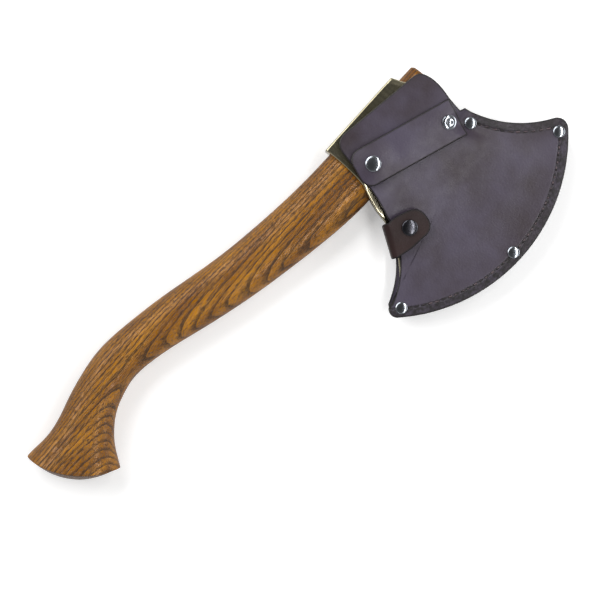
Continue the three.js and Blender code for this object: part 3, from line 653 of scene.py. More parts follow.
@dataclass(frozen=True)
class Leather:
    """Smooth vegetable-tanned cowhide, dyed through.

    It has a soft gloss, a fine pebble and burnished black edges.
    """

    name: str
    dark: str
    light: str
    rim: str = "120d0e"
    pebble_mm: float = 1.5  # the real pebble is 0.4 mm, drawn coarser so that it shows
    crease_mm: float = 7.0
    blotch_mm: float = 2.4  # size of the tool's marks on the border
    cloud_mm: float = 38.0  # how far the dye's light and dark parts lie apart
    roughness: float = 0.40
    shine: float = 0.42
    rim_mm: float = 1.1
    tooling: float = 1.5  # height of the tool's marks, where the pebble's is 1
    ior: float = 1.5

    def material(self) -> bpy.types.Material:
        """Builds the material: clouded dye, a pebble bump and a dark rim from the edge attribute.

        Returns:
            The new material.
        """
        material, tree = blank(self.name)
        place = add(tree, "ShaderNodeTexCoord").outputs["Object"]
        cloud = add(tree, "ShaderNodeTexNoise",
                    {"Vector": place, "Scale": 1000 / self.cloud_mm, "Detail": 4.0})
        dye = add(tree, "ShaderNodeValToRGB", {"Fac": cloud.outputs["Fac"]},
                  stops=[(0.36, linear(self.dark)), (0.66, linear(self.light))])
        pebble = add(tree, "ShaderNodeTexVoronoi", {"Vector": place, "Scale": 1000 / self.pebble_mm},
                     feature="SMOOTH_F1")
        crease = add(tree, "ShaderNodeTexNoise",
                     {"Vector": place, "Scale": 1000 / self.crease_mm, "Detail": 5.0, "Roughness": 0.6})
        height = add(tree, "ShaderNodeMath", {0: pebble.outputs["Distance"], 1: crease.outputs["Fac"]},
                     operation="ADD")
        edge = add(tree, "ShaderNodeAttribute", attribute_name=EDGE)
        rim = add(tree, "ShaderNodeMapRange", {"Value": edge.outputs["Fac"], "From Min": self.rim_mm * 0.4,
                  "From Max": self.rim_mm * 1.5}, interpolation_type="SMOOTHSTEP")
        border = add(tree, "ShaderNodeAttribute", attribute_name=BAND)
        mark = add(tree, "ShaderNodeTexNoise",
                   {"Vector": place, "Scale": 1000 / self.blotch_mm, "Detail": 3.0})
        blotch = add(tree, "ShaderNodeMapRange", {"Value": mark.outputs["Fac"], "From Min": 0.35,
                     "From Max": 0.62, "To Min": 0.25, "To Max": 0.95})
        tooled = add(tree, "ShaderNodeMath", {0: blotch.outputs[0], 1: border.outputs["Fac"]},
                     operation="MULTIPLY")
        worked = add(tree, "ShaderNodeMix", {0: tooled.outputs[0], 6: dye.outputs[0], 7: linear(self.rim)},
                     data_type="RGBA")
        colour = add(tree, "ShaderNodeMix", {0: rim.outputs[0], 6: linear(self.rim), 7: worked.outputs[2]},
                     data_type="RGBA")
        relief = add(tree, "ShaderNodeMath", {0: tooled.outputs[0], 1: self.tooling, 2: height.outputs[0]},
                     operation="MULTIPLY_ADD")
        rough = add(tree, "ShaderNodeMapRange", {"Value": crease.outputs["Fac"], "From Min": 0.3,
                    "From Max": 0.7, "To Min": self.roughness - 0.05, "To Max": self.roughness + 0.07})
        bump = add(tree, "ShaderNodeBump",
                   {"Height": relief.outputs[0], "Strength": 0.16, "Distance": 0.0004})
        finish_surface(tree, {"Base Color": colour.outputs[2], "Roughness": rough.outputs[0],
                              "Normal": bump.outputs[0], "IOR": self.ior, "Specular IOR Level": self.shine})
        return material


@dataclass(frozen=True)
class BrightSteel:
    """Carbon steel, forged, ground and polished: fine grinding lines in its gloss and a faint oil bloom."""

    name: str = "ground steel"
    light: str = "b4ad96"
    bloom: str = "a39c80"
    line_mm: float = 0.35
    line_length_mm: float = 22.0
    line_turn: float = 8.0  # degrees from square to the handle
    bloom_mm: float = 1000 / 45
    roughness: float = 0.17

    def material(self) -> bpy.types.Material:
        """Builds the material: lines across the blade in its roughness, bloom in its colour.

        Returns:
            The new material.
        """
        material, tree = blank(self.name)
        place = add(tree, "ShaderNodeTexCoord").outputs["Object"]
        stretch = add(tree, "ShaderNodeMapping", {
            "Vector": place, "Rotation": (0.0, 0.0, math.radians(self.line_turn)),
            "Scale": (1000 / self.line_mm, 1000 / self.line_length_mm, 1000 / self.line_mm)})
        lines = add(tree, "ShaderNodeTexNoise", {"Vector": stretch.outputs[0], "Scale": 1.0, "Detail": 2.0})
        cloud = add(tree, "ShaderNodeTexNoise",
                    {"Vector": place, "Scale": 1000 / self.bloom_mm, "Detail": 3.0})
        tone = add(tree, "ShaderNodeValToRGB", {"Fac": cloud.outputs["Fac"]},
                   stops=[(0.35, linear(self.bloom)), (0.65, linear(self.light))])
        rough = add(tree, "ShaderNodeMapRange", {"Value": lines.outputs["Fac"], "From Min": 0.3,
                    "From Max": 0.7, "To Min": self.roughness - 0.03, "To Max": self.roughness + 0.05})
        finish_surface(tree, {"Base Color": tone.outputs[0], "Metallic": 1.0, "Roughness": rough.outputs[0]})
        return material


@dataclass(frozen=True)
class Plate:
    """Nickel plate over stamped brass: a mirror with faint polishing haze. The black sort is smoked."""

    name: str
    colour: str
    haze: str
    haze_mm: float = 2.0
    roughness: float = 0.14

    def material(self) -> bpy.types.Material:
        """Builds the material: haze in colour and roughness.

        Returns:
            The new material.
        """
        material, tree = blank(self.name)
        place = add(tree, "ShaderNodeTexCoord").outputs["Object"]
        haze = add(tree, "ShaderNodeTexNoise",
                   {"Vector": place, "Scale": 1000 / self.haze_mm, "Detail": 3.0})
        tone = add(tree, "ShaderNodeValToRGB", {"Fac": haze.outputs["Fac"]},
                   stops=[(0.3, linear(self.haze)), (0.7, linear(self.colour))])
        rough = add(tree, "ShaderNodeMapRange", {"Value": haze.outputs["Fac"], "From Min": 0.3,
                    "From Max": 0.7, "To Min": self.roughness + 0.06, "To Max": self.roughness - 0.03})
        finish_surface(tree, {"Base Color": tone.outputs[0], "Metallic": 1.0, "Roughness": rough.outputs[0]})
        return material


@dataclass(frozen=True)
class WaxedThread:
    """Linen thread, waxed and twisted: dark, with small glints painted into its colour where the light would
    catch the twist.
    """

    dark: str = "191416"
    # colour of the painted glints on the thread
    light: str = "5a4c50"
    painted_glint_mm: float = 5.029  # from one painted glint to the next along X plus Y plus Z; the plies are too fine to show
    roughness: float = 0.5
    ior: float = 1.45

    def material(self) -> bpy.types.Material:
        """Builds the material: slanted bands, as a wave over X plus Y plus Z, painted into the colour as
        glints and also used for the bump.

        Returns:
            The new material.
        """
        material, tree = blank("waxed linen thread")
        place = add(tree, "ShaderNodeTexCoord").outputs["Object"]
        waves = FULL * 1000 / (10 * self.painted_glint_mm)  # at a scale of 1 the wave turns ten radians in a metre
        twist_and_painted_glint = add(tree, "ShaderNodeTexWave", {"Vector": place, "Scale": waves, "Distortion": 1.0},
                  bands_direction="DIAGONAL")
        # the wave's light bands are painted glints in the thread's colour
        tone = add(tree, "ShaderNodeValToRGB", {"Fac": twist_and_painted_glint.outputs["Fac"]},
                   stops=[(0.3, linear(self.dark)), (0.9, linear(self.light))])
        bump = add(tree, "ShaderNodeBump",
                   {"Height": twist_and_painted_glint.outputs["Fac"], "Strength": 0.4, "Distance": 0.0002})
        finish_surface(tree, {"Base Color": tone.outputs[0], "Roughness": self.roughness,
                              "Normal": bump.outputs[0], "IOR": self.ior})
        return material


@dataclass(frozen=True)
class Finishes:
    """One material for each real one."""

    ash: bpy.types.Material
    panel: bpy.types.Material
    welt: bpy.types.Material
    keeper: bpy.types.Material
    steel: bpy.types.Material
    nickel: bpy.types.Material
    smoked: bpy.types.Material
    thread: bpy.types.Material


def make_finishes() -> Finishes:
    """Builds every material.

    Returns:
        The materials, by the names that the pieces use.
    """
    return Finishes(
        ash=OiledAsh().material(),
        panel=Leather("smooth panel leather", dark="32282f", light="474050").material(),
        welt=Leather("burnished welt leather", dark="191213", light="241b1c", rim="140f10").material(),
        keeper=Leather("red-brown strap leather", dark="1d0f0e", light="2b1817",
                       roughness=0.5, shine=0.3).material(),
        steel=BrightSteel().material(),
        nickel=Plate("nickel plate", colour="b4b8be", haze="8f949c").material(),
        smoked=Plate("black nickel plate", colour="55555a", haze="3c3c42", roughness=0.2).material(),
        thread=WaxedThread().material(),
    )


# ---------------------------------------------------------------- the swelling that panels and head share
@dataclass(frozen=True)
class Swell:
    """How the leather rises from its stitched edges over the head."""

    edge_centre: tuple[float, float] = (1.5, -1.0)
    edge_radius: float = 131.5
    seam_centre: tuple[float, float] = (134.0, -16.0)
    seam_radius: float = 83.0
    welt_width: float = 10.0
    welt_half: float = 2.8
    neck_extra: float = 3.2
    neck_y: float = -38.0
    rim_rise: float = 26.0
    seam_rise: float = 10.5
    eye_half: float = 14.5
    blade_half: float = 2.4
    fit: float = 0.4
    leather: float = 2.5
    mouth: tuple[tuple[float, float], ...] = ((-90.0, -80.6), (-57.0, -70.0), (-45.0, -38.0))
    draw: float = 0.5  # share of the swelling that the open edge takes away
    draw_depth: tuple[float, float] = (4.0, 32.0)  # from the open edge, where that starts to fade and ends
    draw_low: tuple[float, float] = (26.0, 52.0)  # below the eye's middle, where that sets in and is whole
    normal_step: float = 4.5  # half the step over which a slope is measured

    def neck(self) -> tuple[float, float]:
        """Where the top seam's inner side starts."""
        reach = self.seam_radius + self.welt_width
        x = self.seam_centre[0] - math.sqrt(reach ** 2 - (self.neck_y - self.seam_centre[1]) ** 2)
        return x, self.neck_y

    def welt(self, y: Array) -> Array:
        """Half the welt's thickness: it grows smoothly from the toe up to the neck."""
        return self.welt_half + self.neck_extra * smooth(y, -88, -34)

    def from_edge(self, x: Array, y: Array) -> Array:
        """Distance from the long edge's centre."""
        return np.hypot(x - self.edge_centre[0], y - self.edge_centre[1])

    def from_seam(self, x: Array, y: Array) -> Array:
        """Distance past the top seam's inner side, or from its end when above the neck.

        Args:
            x: places along the handle.
            y: places towards the poll.

        Returns:
            One distance for each place.
        """
        nx, ny = self.neck()
        above = np.hypot(np.maximum(nx - x, 0), y - ny)
        beside = np.hypot(x - self.seam_centre[0], y - self.seam_centre[1])
        return np.where(y > ny, above, beside - self.seam_radius - self.welt_width)

    def freedom(self, x: Array, y: Array, seam_rise: float) -> Array:
        """0 along the stitched edges and 1 away from them: the product of two smooth steps."""
        rim = smooth(self.edge_radius - self.welt_width - self.from_edge(x, y), 0, self.rim_rise)
        return rim * smooth(self.from_seam(x, y), 0, seam_rise)

    def mouth_draw(self, x: Array, y: Array) -> Array:
        """How much of its swelling the open edge leaves the leather: 1 less a share that fades inwards.

        Args:
            x: places along the handle.
            y: places towards the poll.

        Returns:
            One share for each place.
        """
        (ax, ay), _, (bx, by) = self.mouth
        inward = ((x - ax) * (by - ay) - (y - ay) * (bx - ax)) / math.hypot(bx - ax, by - ay)
        return 1 - self.draw * (1 - smooth(inward, *self.draw_depth)) * smooth(-y, *self.draw_low)

    def inside(self, x: Array, y: Array) -> Array:
        """Half the sheath's inner width: the welt's, plus a share of the step up to the eye's.

        The share is 78 parts of a smooth step over the cheek and 22 parts of a straight slope over the blade.

        Args:
            x: places along the handle.
            y: places towards the poll.

        Returns:
            One height above the blade's middle for each place.
        """
        slope = 0.78 * smooth(y, -66, -14) + 0.22 * np.clip((y + 122) / 100, 0, 1)
        edge = self.welt(y) + GAP
        rise = slope * self.freedom(x, y, self.seam_rise) * self.mouth_draw(x, y)
        return edge + (self.eye_half + self.fit - edge) * rise

    def outside(self, x: Array, y: Array) -> Array:
        """Half the sheath's outer width."""
        return self.inside(x, y) + self.leather

    def head(self, x: Array, y: Array) -> Array:
        """Half the head's thickness: the spine's, plus a share of the step up to the eye's.

        The share is 80 parts of a smooth step over the cheek and 20 parts of a straight slope over the blade,
        each a little further from the eye's middle than the sheath's, so that the leather clears the steel.

        Args:
            x: places along the handle.
            y: places towards the poll.

        Returns:
            One height above the blade's middle for each place.
        """
        slope = 0.8 * smooth(y, -46, -4) + 0.2 * np.clip((y + 118) / 104, 0, 1)
        spine = self.blade_half + (self.welt(y) - self.welt_half) * 0.7 * smooth(x, -30, 30)
        return spine + (self.eye_half - spine) * slope * self.freedom(x, y, self.seam_rise * 1.7)

    def seat(self, at: Sequence[float], face: Face, lift: float = 0.0) -> Array:
        """A place on the sheath's outer surface, with the surface's slopes turned into a normal.

        Args:
            at: the place's x and y.
            face: the side of the sheath.
            lift: how far above the surface it is.

        Returns:
            A 4 by 4 placing matrix whose third axis is the normal.
        """
        x, y = np.array(at, float)
        reach = self.normal_step
        dx = (self.outside(x + reach, y) - self.outside(x - reach, y)) / (2 * reach)
        dy = (self.outside(x, y + reach) - self.outside(x, y - reach)) / (2 * reach)
        up = np.array([-dx, -dy, face.value])
        up /= np.linalg.norm(up)
        right = np.array([1.0, 0, 0]) - up * up[0]
        right /= np.linalg.norm(right)
        matrix = np.eye(4)
        matrix[:3, :3] = np.stack([right, np.cross(up, right), up], axis=1)
        matrix[:3, 3] = np.array([x, y, face.value * self.outside(x, y)]) + up * lift
        return matrix

    def upright(self, at: Sequence[float], face: Face) -> Array:
        """A place on the sheath's outer surface, square to the blade.

        Args:
            at: the place's x and y.
            face: the side of the sheath.

        Returns:
            A 4 by 4 placing matrix whose third axis points away from the blade.
        """
        matrix = np.diag([1.0, face.value, face.value, 1.0])
        matrix[:3, 3] = [at[0], at[1], face.value * float(self.outside(*np.array(at, float)))]
        return matrix


# ---------------------------------------------------------------- handle
@dataclass
class Handle:
    """The ash handle: an oval rod that curves down to a flared, bowed butt."""

    tongue: float = 51.0
    power: float = 0.88  # below 1 the oval has fuller shoulders
    dome: float = 3.8
    sides: int = 96
    steps: int = 14  # rings between two stations
    rim_round: float = 1.3
    tip_round: float = 2.8  # plan radius of the butt's two tips
    last_step: float = 9.6  # from the last station but one to the last
    butt_share: float = 0.29  # of a station, over which close rings lead to the butt's tips
    chamfer: tuple[float, float] = (1.6, 1.4)  # how far the tongue's end shrinks and how long that takes
    rim_share: float = 0.9  # how far the butt's dome stands behind its rounded rim
    end_grain: float = 5.0  # mm from end grain, given to the wood that shows none
    kerf: float = 55.0
    wedge: tuple[float, float] = (3.8, 0.9)  # thickness at its back and tip
    # the steel wedge: depth, width, thickness at its back and tip, place along Y, degrees about X
    cross: tuple[float, float, float, float, float, float] = (20.0, 13.0, 2.4, 0.9, -2.0, 24.0)
    # upper edge x and y, lower edge x and y, half the thickness, bow towards the butt
    stations: Array = field(default_factory=lambda: np.array([
        [51, 16.6, 51, -17.0, 9.0, 0], [0, 18.9, 0, -19.4, 9.9, 0], [-34, 20.9, -34, -21.6, 10.9, 0],
        [-52, 21.9, -52, -21.3, 12.6, 0], [-78, 24.3, -78, -17.7, 13.6, 0],
        [-114, 29.5, -114, -10.4, 14.2, 0], [-150, 36.8, -150, -1.6, 14.4, 0],
        [-186, 46.5, -186, 9.3, 14.3, 0], [-215, 53.1, -213, 18.4, 14.0, 0],
        [-243, 57.6, -241, 25.2, 13.8, 0], [-265, 57.0, -259, 24.5, 13.9, 0.2],
        [-286, 53.4, -274, 20.2, 14.4, 1], [-304, 48.9, -286, 13.0, 15.2, 2.6],
        [-320, 46.8, -295, 4.6, 16.1, 4.6], [-333, 47.9, -301.5, -4.2, 16.9, 6.6],
        [-342.6, 48.6, -305.2, -9.2, 17.3, 7.8]]))

    def sections(self, t: Array, growth: float = 0.0, shrink: Array | float = 1.0,
                 bow: Array | float = 0.0) -> Array:
        """Oval sections at places along the stations.

        A point is the middle, plus the cross direction times c times half the height, plus the outward
        direction times the bow times 1 less c squared, plus Z times s times half the thickness, where c and
        s are the cosine and sine, each raised to the oval's power with its sign kept.

        Args:
            t: places, in stations.
            growth: how much wider all round.
            shrink: share of the full section, for the end's dome.
            bow: extra push towards the butt.

        Returns:
            An array of section by side by x, y, z.
        """
        s = spline(self.stations, t)
        upper, lower, thick, bend = s[:, 0:2], s[:, 2:4], s[:, 4], s[:, 5]
        chord = upper - lower
        half = np.linalg.norm(chord, axis=1) / 2
        across = chord / (2 * half[:, None])
        outward = np.stack([-across[:, 1], across[:, 0]], axis=1)
        middle = (upper + lower) / 2
        a = np.linspace(0, -FULL, self.sides, endpoint=False)
        c = np.sign(np.cos(a)) * np.abs(np.cos(a)) ** self.power
        n = np.sign(np.sin(a)) * np.abs(np.sin(a)) ** self.power
        shrink = np.broadcast_to(np.asarray(shrink, float), t.shape)[:, None]
        bow = np.broadcast_to(np.asarray(bow, float), t.shape)[:, None]
        left = np.clip((len(self.stations) - 1 - t) * self.last_step, 0, self.tip_round)
        tuck = self.tip_round - np.sqrt(self.tip_round ** 2 - (self.tip_round - left) ** 2)
        reach = c * shrink * ((half + growth)[:, None] - tuck[:, None] * c ** 4)
        push = bend[:, None] * (1 - (c * shrink) ** 2) + bow
        xy = (middle[:, None, :] + across[:, None, :] * reach[..., None]
              + outward[:, None, :] * push[..., None])
        z = n * shrink * (thick + growth)[:, None]
        return np.concatenate([xy, z[..., None]], axis=-1)

    def blank(self) -> tuple[Array, Array]:
        """Rings from the tongue's chamfered end to the middle of the butt's dome.

        The dome is a rounded rim, as a sine of its turn, and then rises with 1 less the square of the ring's
        share of the full section.

        Returns:
            The rings, and each ring's distance from end grain.
        """
        last = len(self.stations) - 1
        even = np.linspace(0, last, last * self.steps + 1)
        close = last - self.butt_share * (1 - np.sin(np.linspace(0.1, 1.5, 7)))
        body = self.sections(np.sort(np.concatenate([even, close])))
        shrink, length = self.chamfer
        top = self.sections(np.zeros(3), growth=-shrink, shrink=np.array([0.02, 0.5, 1.0]))
        top[..., 0] += length
        turn = np.linspace(0.35, math.pi / 2, 5)
        butt_half, dome_rings = 24.0, 15  # half the butt's height, and the rings inside its rim
        near = 1 - self.rim_round / butt_half * (1 - np.cos(turn))
        shares = np.concatenate([near, np.linspace(near[-1], 0.03, dome_rings + 1)[1:]])
        behind = self.rim_round * self.rim_share
        rise = np.concatenate([behind * np.sin(turn), np.full(dome_rings, behind)])
        end = self.sections(np.full(len(shares), float(last)), shrink=shares,
                            bow=self.dome * (1 - shares ** 2) + rise - behind)
        wood = np.full(len(body) - 1, self.end_grain)
        depth = np.concatenate([[0, 0, 1], wood, [3, 1.2, 0.3, 0, 0], np.zeros(dome_rings)])
        return np.concatenate([top, body[:-1], end]), depth

    def wedge_rings(self, depth: float, width: float, thick: float, tip: float, room: float, turn: float,
                    shift: float, top: float) -> Array:
        """A wedge's two end rectangles, turned about X and moved along Y.

        Args:
            depth: how far it reaches into the tongue.
            width: its width.
            thick: its thickness at the tongue's end.
            tip: its thickness at its tip.
            room: clearance all round.
            turn: degrees about X.
            shift: how far it is moved along Y.
            top: how far it reaches past the tongue's end.

        Returns:
            An array of ring by corner by x, y, z.
        """
        rows = []
        for x, half in ((self.tongue + top, thick / 2 + room), (self.tongue - depth - room, tip / 2 + room)):
            w = width / 2 + room
            rows.append([[x, half, -w], [x, half, w], [x, -half, w], [x, -half, -w]])
        rings = np.array(rows)
        a = math.radians(turn)
        y, z = rings[..., 1].copy(), rings[..., 2].copy()
        rings[..., 1] = y * math.cos(a) - z * math.sin(a) + shift
        rings[..., 2] = y * math.sin(a) + z * math.cos(a)
        return rings

    def build(self, shop: Workshop, finishes: Finishes) -> None:
        """Makes the handle and cuts the room for its two wedges.

        Args:
            shop: makes the meshes.
            finishes: the materials.
        """
        rings, depth = self.blank()
        handle = shop.loft("handle_ash", rings, depth, angle=50)
        through, past = 60.0, 9.0  # wider than the tongue, and past its end
        depth, width, thick, tip, y, turn = self.cross
        kerf = shop.loft("kerf", self.wedge_rings(self.kerf, through, *self.wedge, GAP, 90, 0, past))
        slot = shop.loft("slot", self.wedge_rings(depth, width, thick, tip, GAP, turn, y, past))
        shop.carve(handle, [kerf, slot])
        settle(handle, Body.HATCHET, "oiled_ash", ["handle"], finishes.ash)


# ---------------------------------------------------------------- head
@dataclass
class Head:
    """The forged head: a square poll, a thick eye, and a broad thin blade with a ground bevel."""

    swell: Swell = field(default_factory=Swell)
    edge_half: float = 0.35
    bevel: float = 12.0
    to_welt: float = 2.5
    spine_to_welt: float = 0.9
    roll: float = 1.1
    hub: tuple[float, float] = (0.0, -60.0)
    heel: tuple[float, float] = (-83.2, -84.2)  # the cutting edge's lower corner
    neck_y: float = -43.0  # where the hollow top starts

    def edge_radius(self) -> float:
        """Radius of the cutting edge."""
        return self.swell.edge_radius - self.swell.welt_width - self.to_welt

    def outline(self) -> Array:
        """The head from its side: straight poll, hooked beard, round edge and hollow top.

        Returns:
            The closed line, evenly stepped.
        """
        s = self.swell
        radius = self.edge_radius()
        top = s.seam_radius + s.welt_width + self.spine_to_welt
        toe = crossing(s.edge_centre, radius, s.seam_centre, top)
        heel = self.heel
        down = self.neck_y - s.seam_centre[1]
        start = (s.seam_centre[0] - math.sqrt(top ** 2 - down ** 2), self.neck_y)
        a0, a1 = angle_to(s.edge_centre, heel), angle_to(s.edge_centre, toe)
        b0, b1 = (angle_to(s.seam_centre, point) % FULL for point in (toe, start))
        parts = [
            bezier([(-35, 25), (-34, 8), (-37, -12)]),
            bezier([(-37, -12), (-41, -20), (-44.5, -31)]),
            bezier([(-44.5, -31), (-46.5, -40)]),
            bezier([(-46.5, -40), (-51, -55), (-62, -70), heel], 60),
            arc(s.edge_centre, radius, a0, a1),
            arc(s.seam_centre, top, b0, b1),
            bezier([start, (41.8, -38), (41.6, -29), (45.6, -24.5)]),
            bezier([(45.6, -24.5), (49, -20.5), (52.4, -16), (51.8, -12)]),
            bezier([(51.8, -12), (50, -7), (38, 14.5)]),
            bezier([(38, 14.5), (35, 22.5)]),
            bezier([(35, 22.5), (-35, 25)]),
        ]
        return evened(np.vstack(parts), 900)

    def place(self, xy: Array, side: float, share: float) -> Array:
        """Cheeks at half the thickness, cut back by a cone at the bevel; the roll lowers a rim point.

        Args:
            xy: flat points.
            side: 1 for the upper cheek, -1 for the lower.
            share: how much of the roll a point has.

        Returns:
            One design point for each flat point.
        """
        x, y = xy.T
        s = self.swell
        room = (self.edge_radius() - s.from_edge(x, y)) * (s.blade_half - self.edge_half) / self.bevel
        half = np.minimum(s.head(x, y), np.maximum(self.edge_half + room, self.edge_half))
        drop = share * np.minimum(self.roll, 0.8 * half)  # thin steel keeps a flat at its edge
        return np.stack([x, y, side * (half - drop)], axis=1)

    def build(self, shop: Workshop, finishes: Finishes, handle: Handle) -> None:
        """Makes the head and cuts the handle's shape through it.

        Args:
            shop: makes the meshes.
            finishes: the materials.
            handle: the handle that the eye is cut for.
        """
        head = shop.sheet("head_steel", self.outline(), self.hub, self.place, self.roll,
                          fine=14, counts=(26, 34))
        rings = handle.sections(np.linspace(0, 4, 40), growth=GAP)
        lead = handle.sections(np.zeros(1), growth=GAP)
        lead[..., 0] += 12  # past the tongue's end, so that the eye is open there
        eye = shop.loft("eye", np.concatenate([lead, rings]))
        shop.carve(head, [eye])
        head.data.set_sharp_from_angle(angle=math.radians(30))
        settle(head, Body.HATCHET, "forged_steel", ["axe_head"], finishes.steel)


# ---------------------------------------------------------------- sheath
@dataclass
class Sheath:
    """Two panels of leather, riveted and stitched over a welt along the blade's two closed sides."""

    swell: Swell = field(default_factory=Swell)
    toe_round: float = 8.0
    heel: tuple[float, float, float] = (-88.6, -88.0, 6.4)
    inset: float = 2.6
    roll: float = 0.9
    hub: tuple[float, float] = (0.0, -60.0)
    rivet_in: float = 6.9
    rim_rivets: tuple[float, float, float] = (-48.8, -92.5, -134.8)  # toe, middle and heel, in degrees
    neck_rivet_y: float = -42.0
    stitch_in: float = 6.5
    stitch_pitch: float = 4.7
    stitch_length: float = 3.7
    stitch_tilt: float = 7.0  # degrees from the stitch line
    stitch_rings: int = 9
    stitch_sides: int = 8
    stitch_clear: float = 1.6  # from a rivet's cap to the first stitch
    thread: float = 0.55
    groove: float = 0.45
    cap: tuple[float, float] = (4.4, 1.6)
    shank: float = 1.6
    seam_top: float = -40.0  # the top seam's stitching ends below this height
    bore: float = 0.9  # how far a shank reaches into the cap behind
    stub: float = 0.5  # how far the back cap's own shank reaches down
    welt_rings: int = 420
    flap_y: float = -32.0  # where the panels leave the top seam
    heel_turn: float = -243.0  # degrees at which the heel's round meets the open edge

    def on_seam(self, y: float, radius: float) -> tuple[float, float]:
        """The point at a height on a circle about the top seam's centre."""
        cx, cy = self.swell.seam_centre
        return cx - math.sqrt(radius ** 2 - (y - cy) ** 2), y

    def rivet_places(self) -> dict[str, tuple[float, float]]:
        """Where the four rivets stand.

        Returns:
            Each rivet's x and y, by its name.
        """
        s = self.swell
        neck_extra = 0.9  # the neck rivet stands this much further in
        r = s.edge_radius - self.rivet_in
        at = {"neck": self.on_seam(self.neck_rivet_y, s.seam_radius + self.rivet_in + neck_extra)}
        for name, degrees in zip(("toe", "middle", "heel"), self.rim_rivets):
            a = math.radians(degrees)
            at[name] = (s.edge_centre[0] + r * math.cos(a), s.edge_centre[1] + r * math.sin(a))
        return at

    def stitched_edge(self, start_y: float) -> Array:
        """The closed side: four arcs from the neck round the toe along the long edge to the heel.

        Args:
            start_y: the height at which it starts.

        Returns:
            One row for each point.
        """
        s = self.swell
        toe = crossing(s.edge_centre, s.edge_radius - self.toe_round, s.seam_centre,
                       s.seam_radius + self.toe_round)
        start = self.on_seam(start_y, s.seam_radius)
        to_toe, away = angle_to(s.seam_centre, toe), angle_to(s.edge_centre, toe)
        to_heel = angle_to(s.edge_centre, self.heel[:2])
        return np.vstack([
            arc(s.seam_centre, s.seam_radius, angle_to(s.seam_centre, start) % FULL, to_toe % FULL),
            arc(toe, self.toe_round, (to_toe + math.pi) % FULL, away),
            arc(s.edge_centre, s.edge_radius, away, to_heel),
            arc(self.heel[:2], self.heel[2], to_heel, math.radians(self.heel_turn)),
        ])

    def outline(self, inset: float) -> Array:
        """A panel's outline: the closed side, the open edge and the flap over the eye.

        Args:
            inset: how much further back the open edge lies than on the back panel.

        Returns:
            The closed line, evenly stepped.
        """
        a, b, c = [(x + inset * 0.55, y - inset * 0.85) for x, y in self.swell.mouth]
        parts = [
            self.stitched_edge(self.flap_y),
            bezier([a, b, c], 60),
            bezier([c, (-37.5, -26), (-35.2, -14)]),
            bezier([(-35.2, -14), (-29.2, 13)]),
            bezier([(-29.2, 13), (-27.5, 22.6), (-18, 22.4)]),
            bezier([(-18, 22.4), (45, 10.9)]),
            bezier([(45, 10.9), (50.5, 10), (52.2, 4.5)]),
            bezier([(52.2, 4.5), (54.8, -4), (50.6, -18)]),
            bezier([(50.6, -18), (48.4, -29.5), (49, -30.5)]),
        ]
        return evened(np.vstack(parts), 960)

    def channel(self, x: Array, y: Array) -> Array:
        """Depth of the channel that the stitches lie in: a bell curve across both stitch lines.

        Args:
            x: places along the handle.
            y: places towards the poll.

        Returns:
            One depth for each place.
        """
        s = self.swell
        width, far = 0.9, 9.0  # of the bell curve, and a distance at which it is nothing
        rim = np.abs(s.edge_radius - self.stitch_in - s.from_edge(x, y))
        seam = np.abs(np.hypot(x - s.seam_centre[0], y - s.seam_centre[1]) - s.seam_radius - self.stitch_in)
        seam = np.where(y < self.seam_top, seam, far)
        return self.groove * np.exp(-(np.minimum(rim, seam) / width) ** 2)

    def panel(self, face: Face) -> Place:
        """The place of a panel's points: between the sheath's inner and outer surface on its face.

        Args:
            face: the side of the sheath.

        Returns:
            A function that turns flat points, a side and a share of the roll into design points.
        """
        def place(xy: Array, side: float, share: float) -> Array:
            """Sets each flat point to its height: the inner or the outer surface's, less the roll's share."""
            x, y = xy.T
            drop = share * self.roll
            if side > 0:
                z = self.swell.outside(x, y) - drop - self.channel(x, y)
            else:
                z = self.swell.inside(x, y) + drop
            return np.stack([x, y, face.value * z], axis=1)
        return place

    def band(self, x: Array, y: Array) -> Array:
        """1 on the tooled border outside the stitches and 0 elsewhere, with a smooth step between.

        Args:
            x: places along the handle.
            y: places towards the poll.

        Returns:
            One share for each place.
        """
        s = self.swell
        seam = np.hypot(x - s.seam_centre[0], y - s.seam_centre[1]) - s.seam_radius
        rim = s.edge_radius - s.from_edge(x, y)
        near = np.minimum(rim, np.where(y < self.seam_top, seam, s.edge_radius))
        return 1 - smooth(near, self.stitch_in + 0.6, self.stitch_in + 1.6)

    def build_welt(self, shop: Workshop, finishes: Finishes) -> None:
        """The welt: a flat band carried along the closed side, its outer edge a little rounded.

        Args:
            shop: makes the meshes.
            finishes: the materials.
        """
        path = self.stitched_edge(self.swell.neck_y)
        steps = np.append(0, np.cumsum(np.linalg.norm(np.diff(path, axis=0), axis=1)))
        at = np.linspace(0, steps[-1], self.welt_rings)
        path = np.stack([np.interp(at, steps, path[:, k]) for k in (0, 1)], axis=1)
        chord = np.gradient(path, axis=0)
        normal = np.stack([chord[:, 1], -chord[:, 0]], axis=1)
        normal /= np.linalg.norm(normal, axis=1, keepdims=True)
        inward = np.sign(np.sum(normal * (np.array(self.hub) - path), axis=1, keepdims=True)) * normal
        half_depth = np.array([7.0, 3.5, 0.6, 0.15, 0.0])  # inwards from the edge, down to its middle
        half_level = np.array([1.0, 1.0, 1.0, 0.93, 0.75])  # share of the thickness at each
        depth = np.concatenate([half_depth, [0.0], half_depth[::-1]])
        level = np.concatenate([half_level, [0.0], -half_level[::-1]])
        xy = path[:, None, :] + inward[:, None, :] * depth[None, :, None]
        z = self.swell.welt(path[:, 1])[:, None] * level[None, :]
        welt = shop.loft("sheath_welt_edge", np.concatenate([xy, z[..., None]], axis=-1))
        settle(welt, Body.SHEATH, "welt_leather", ["sheath_welt"], finishes.welt)

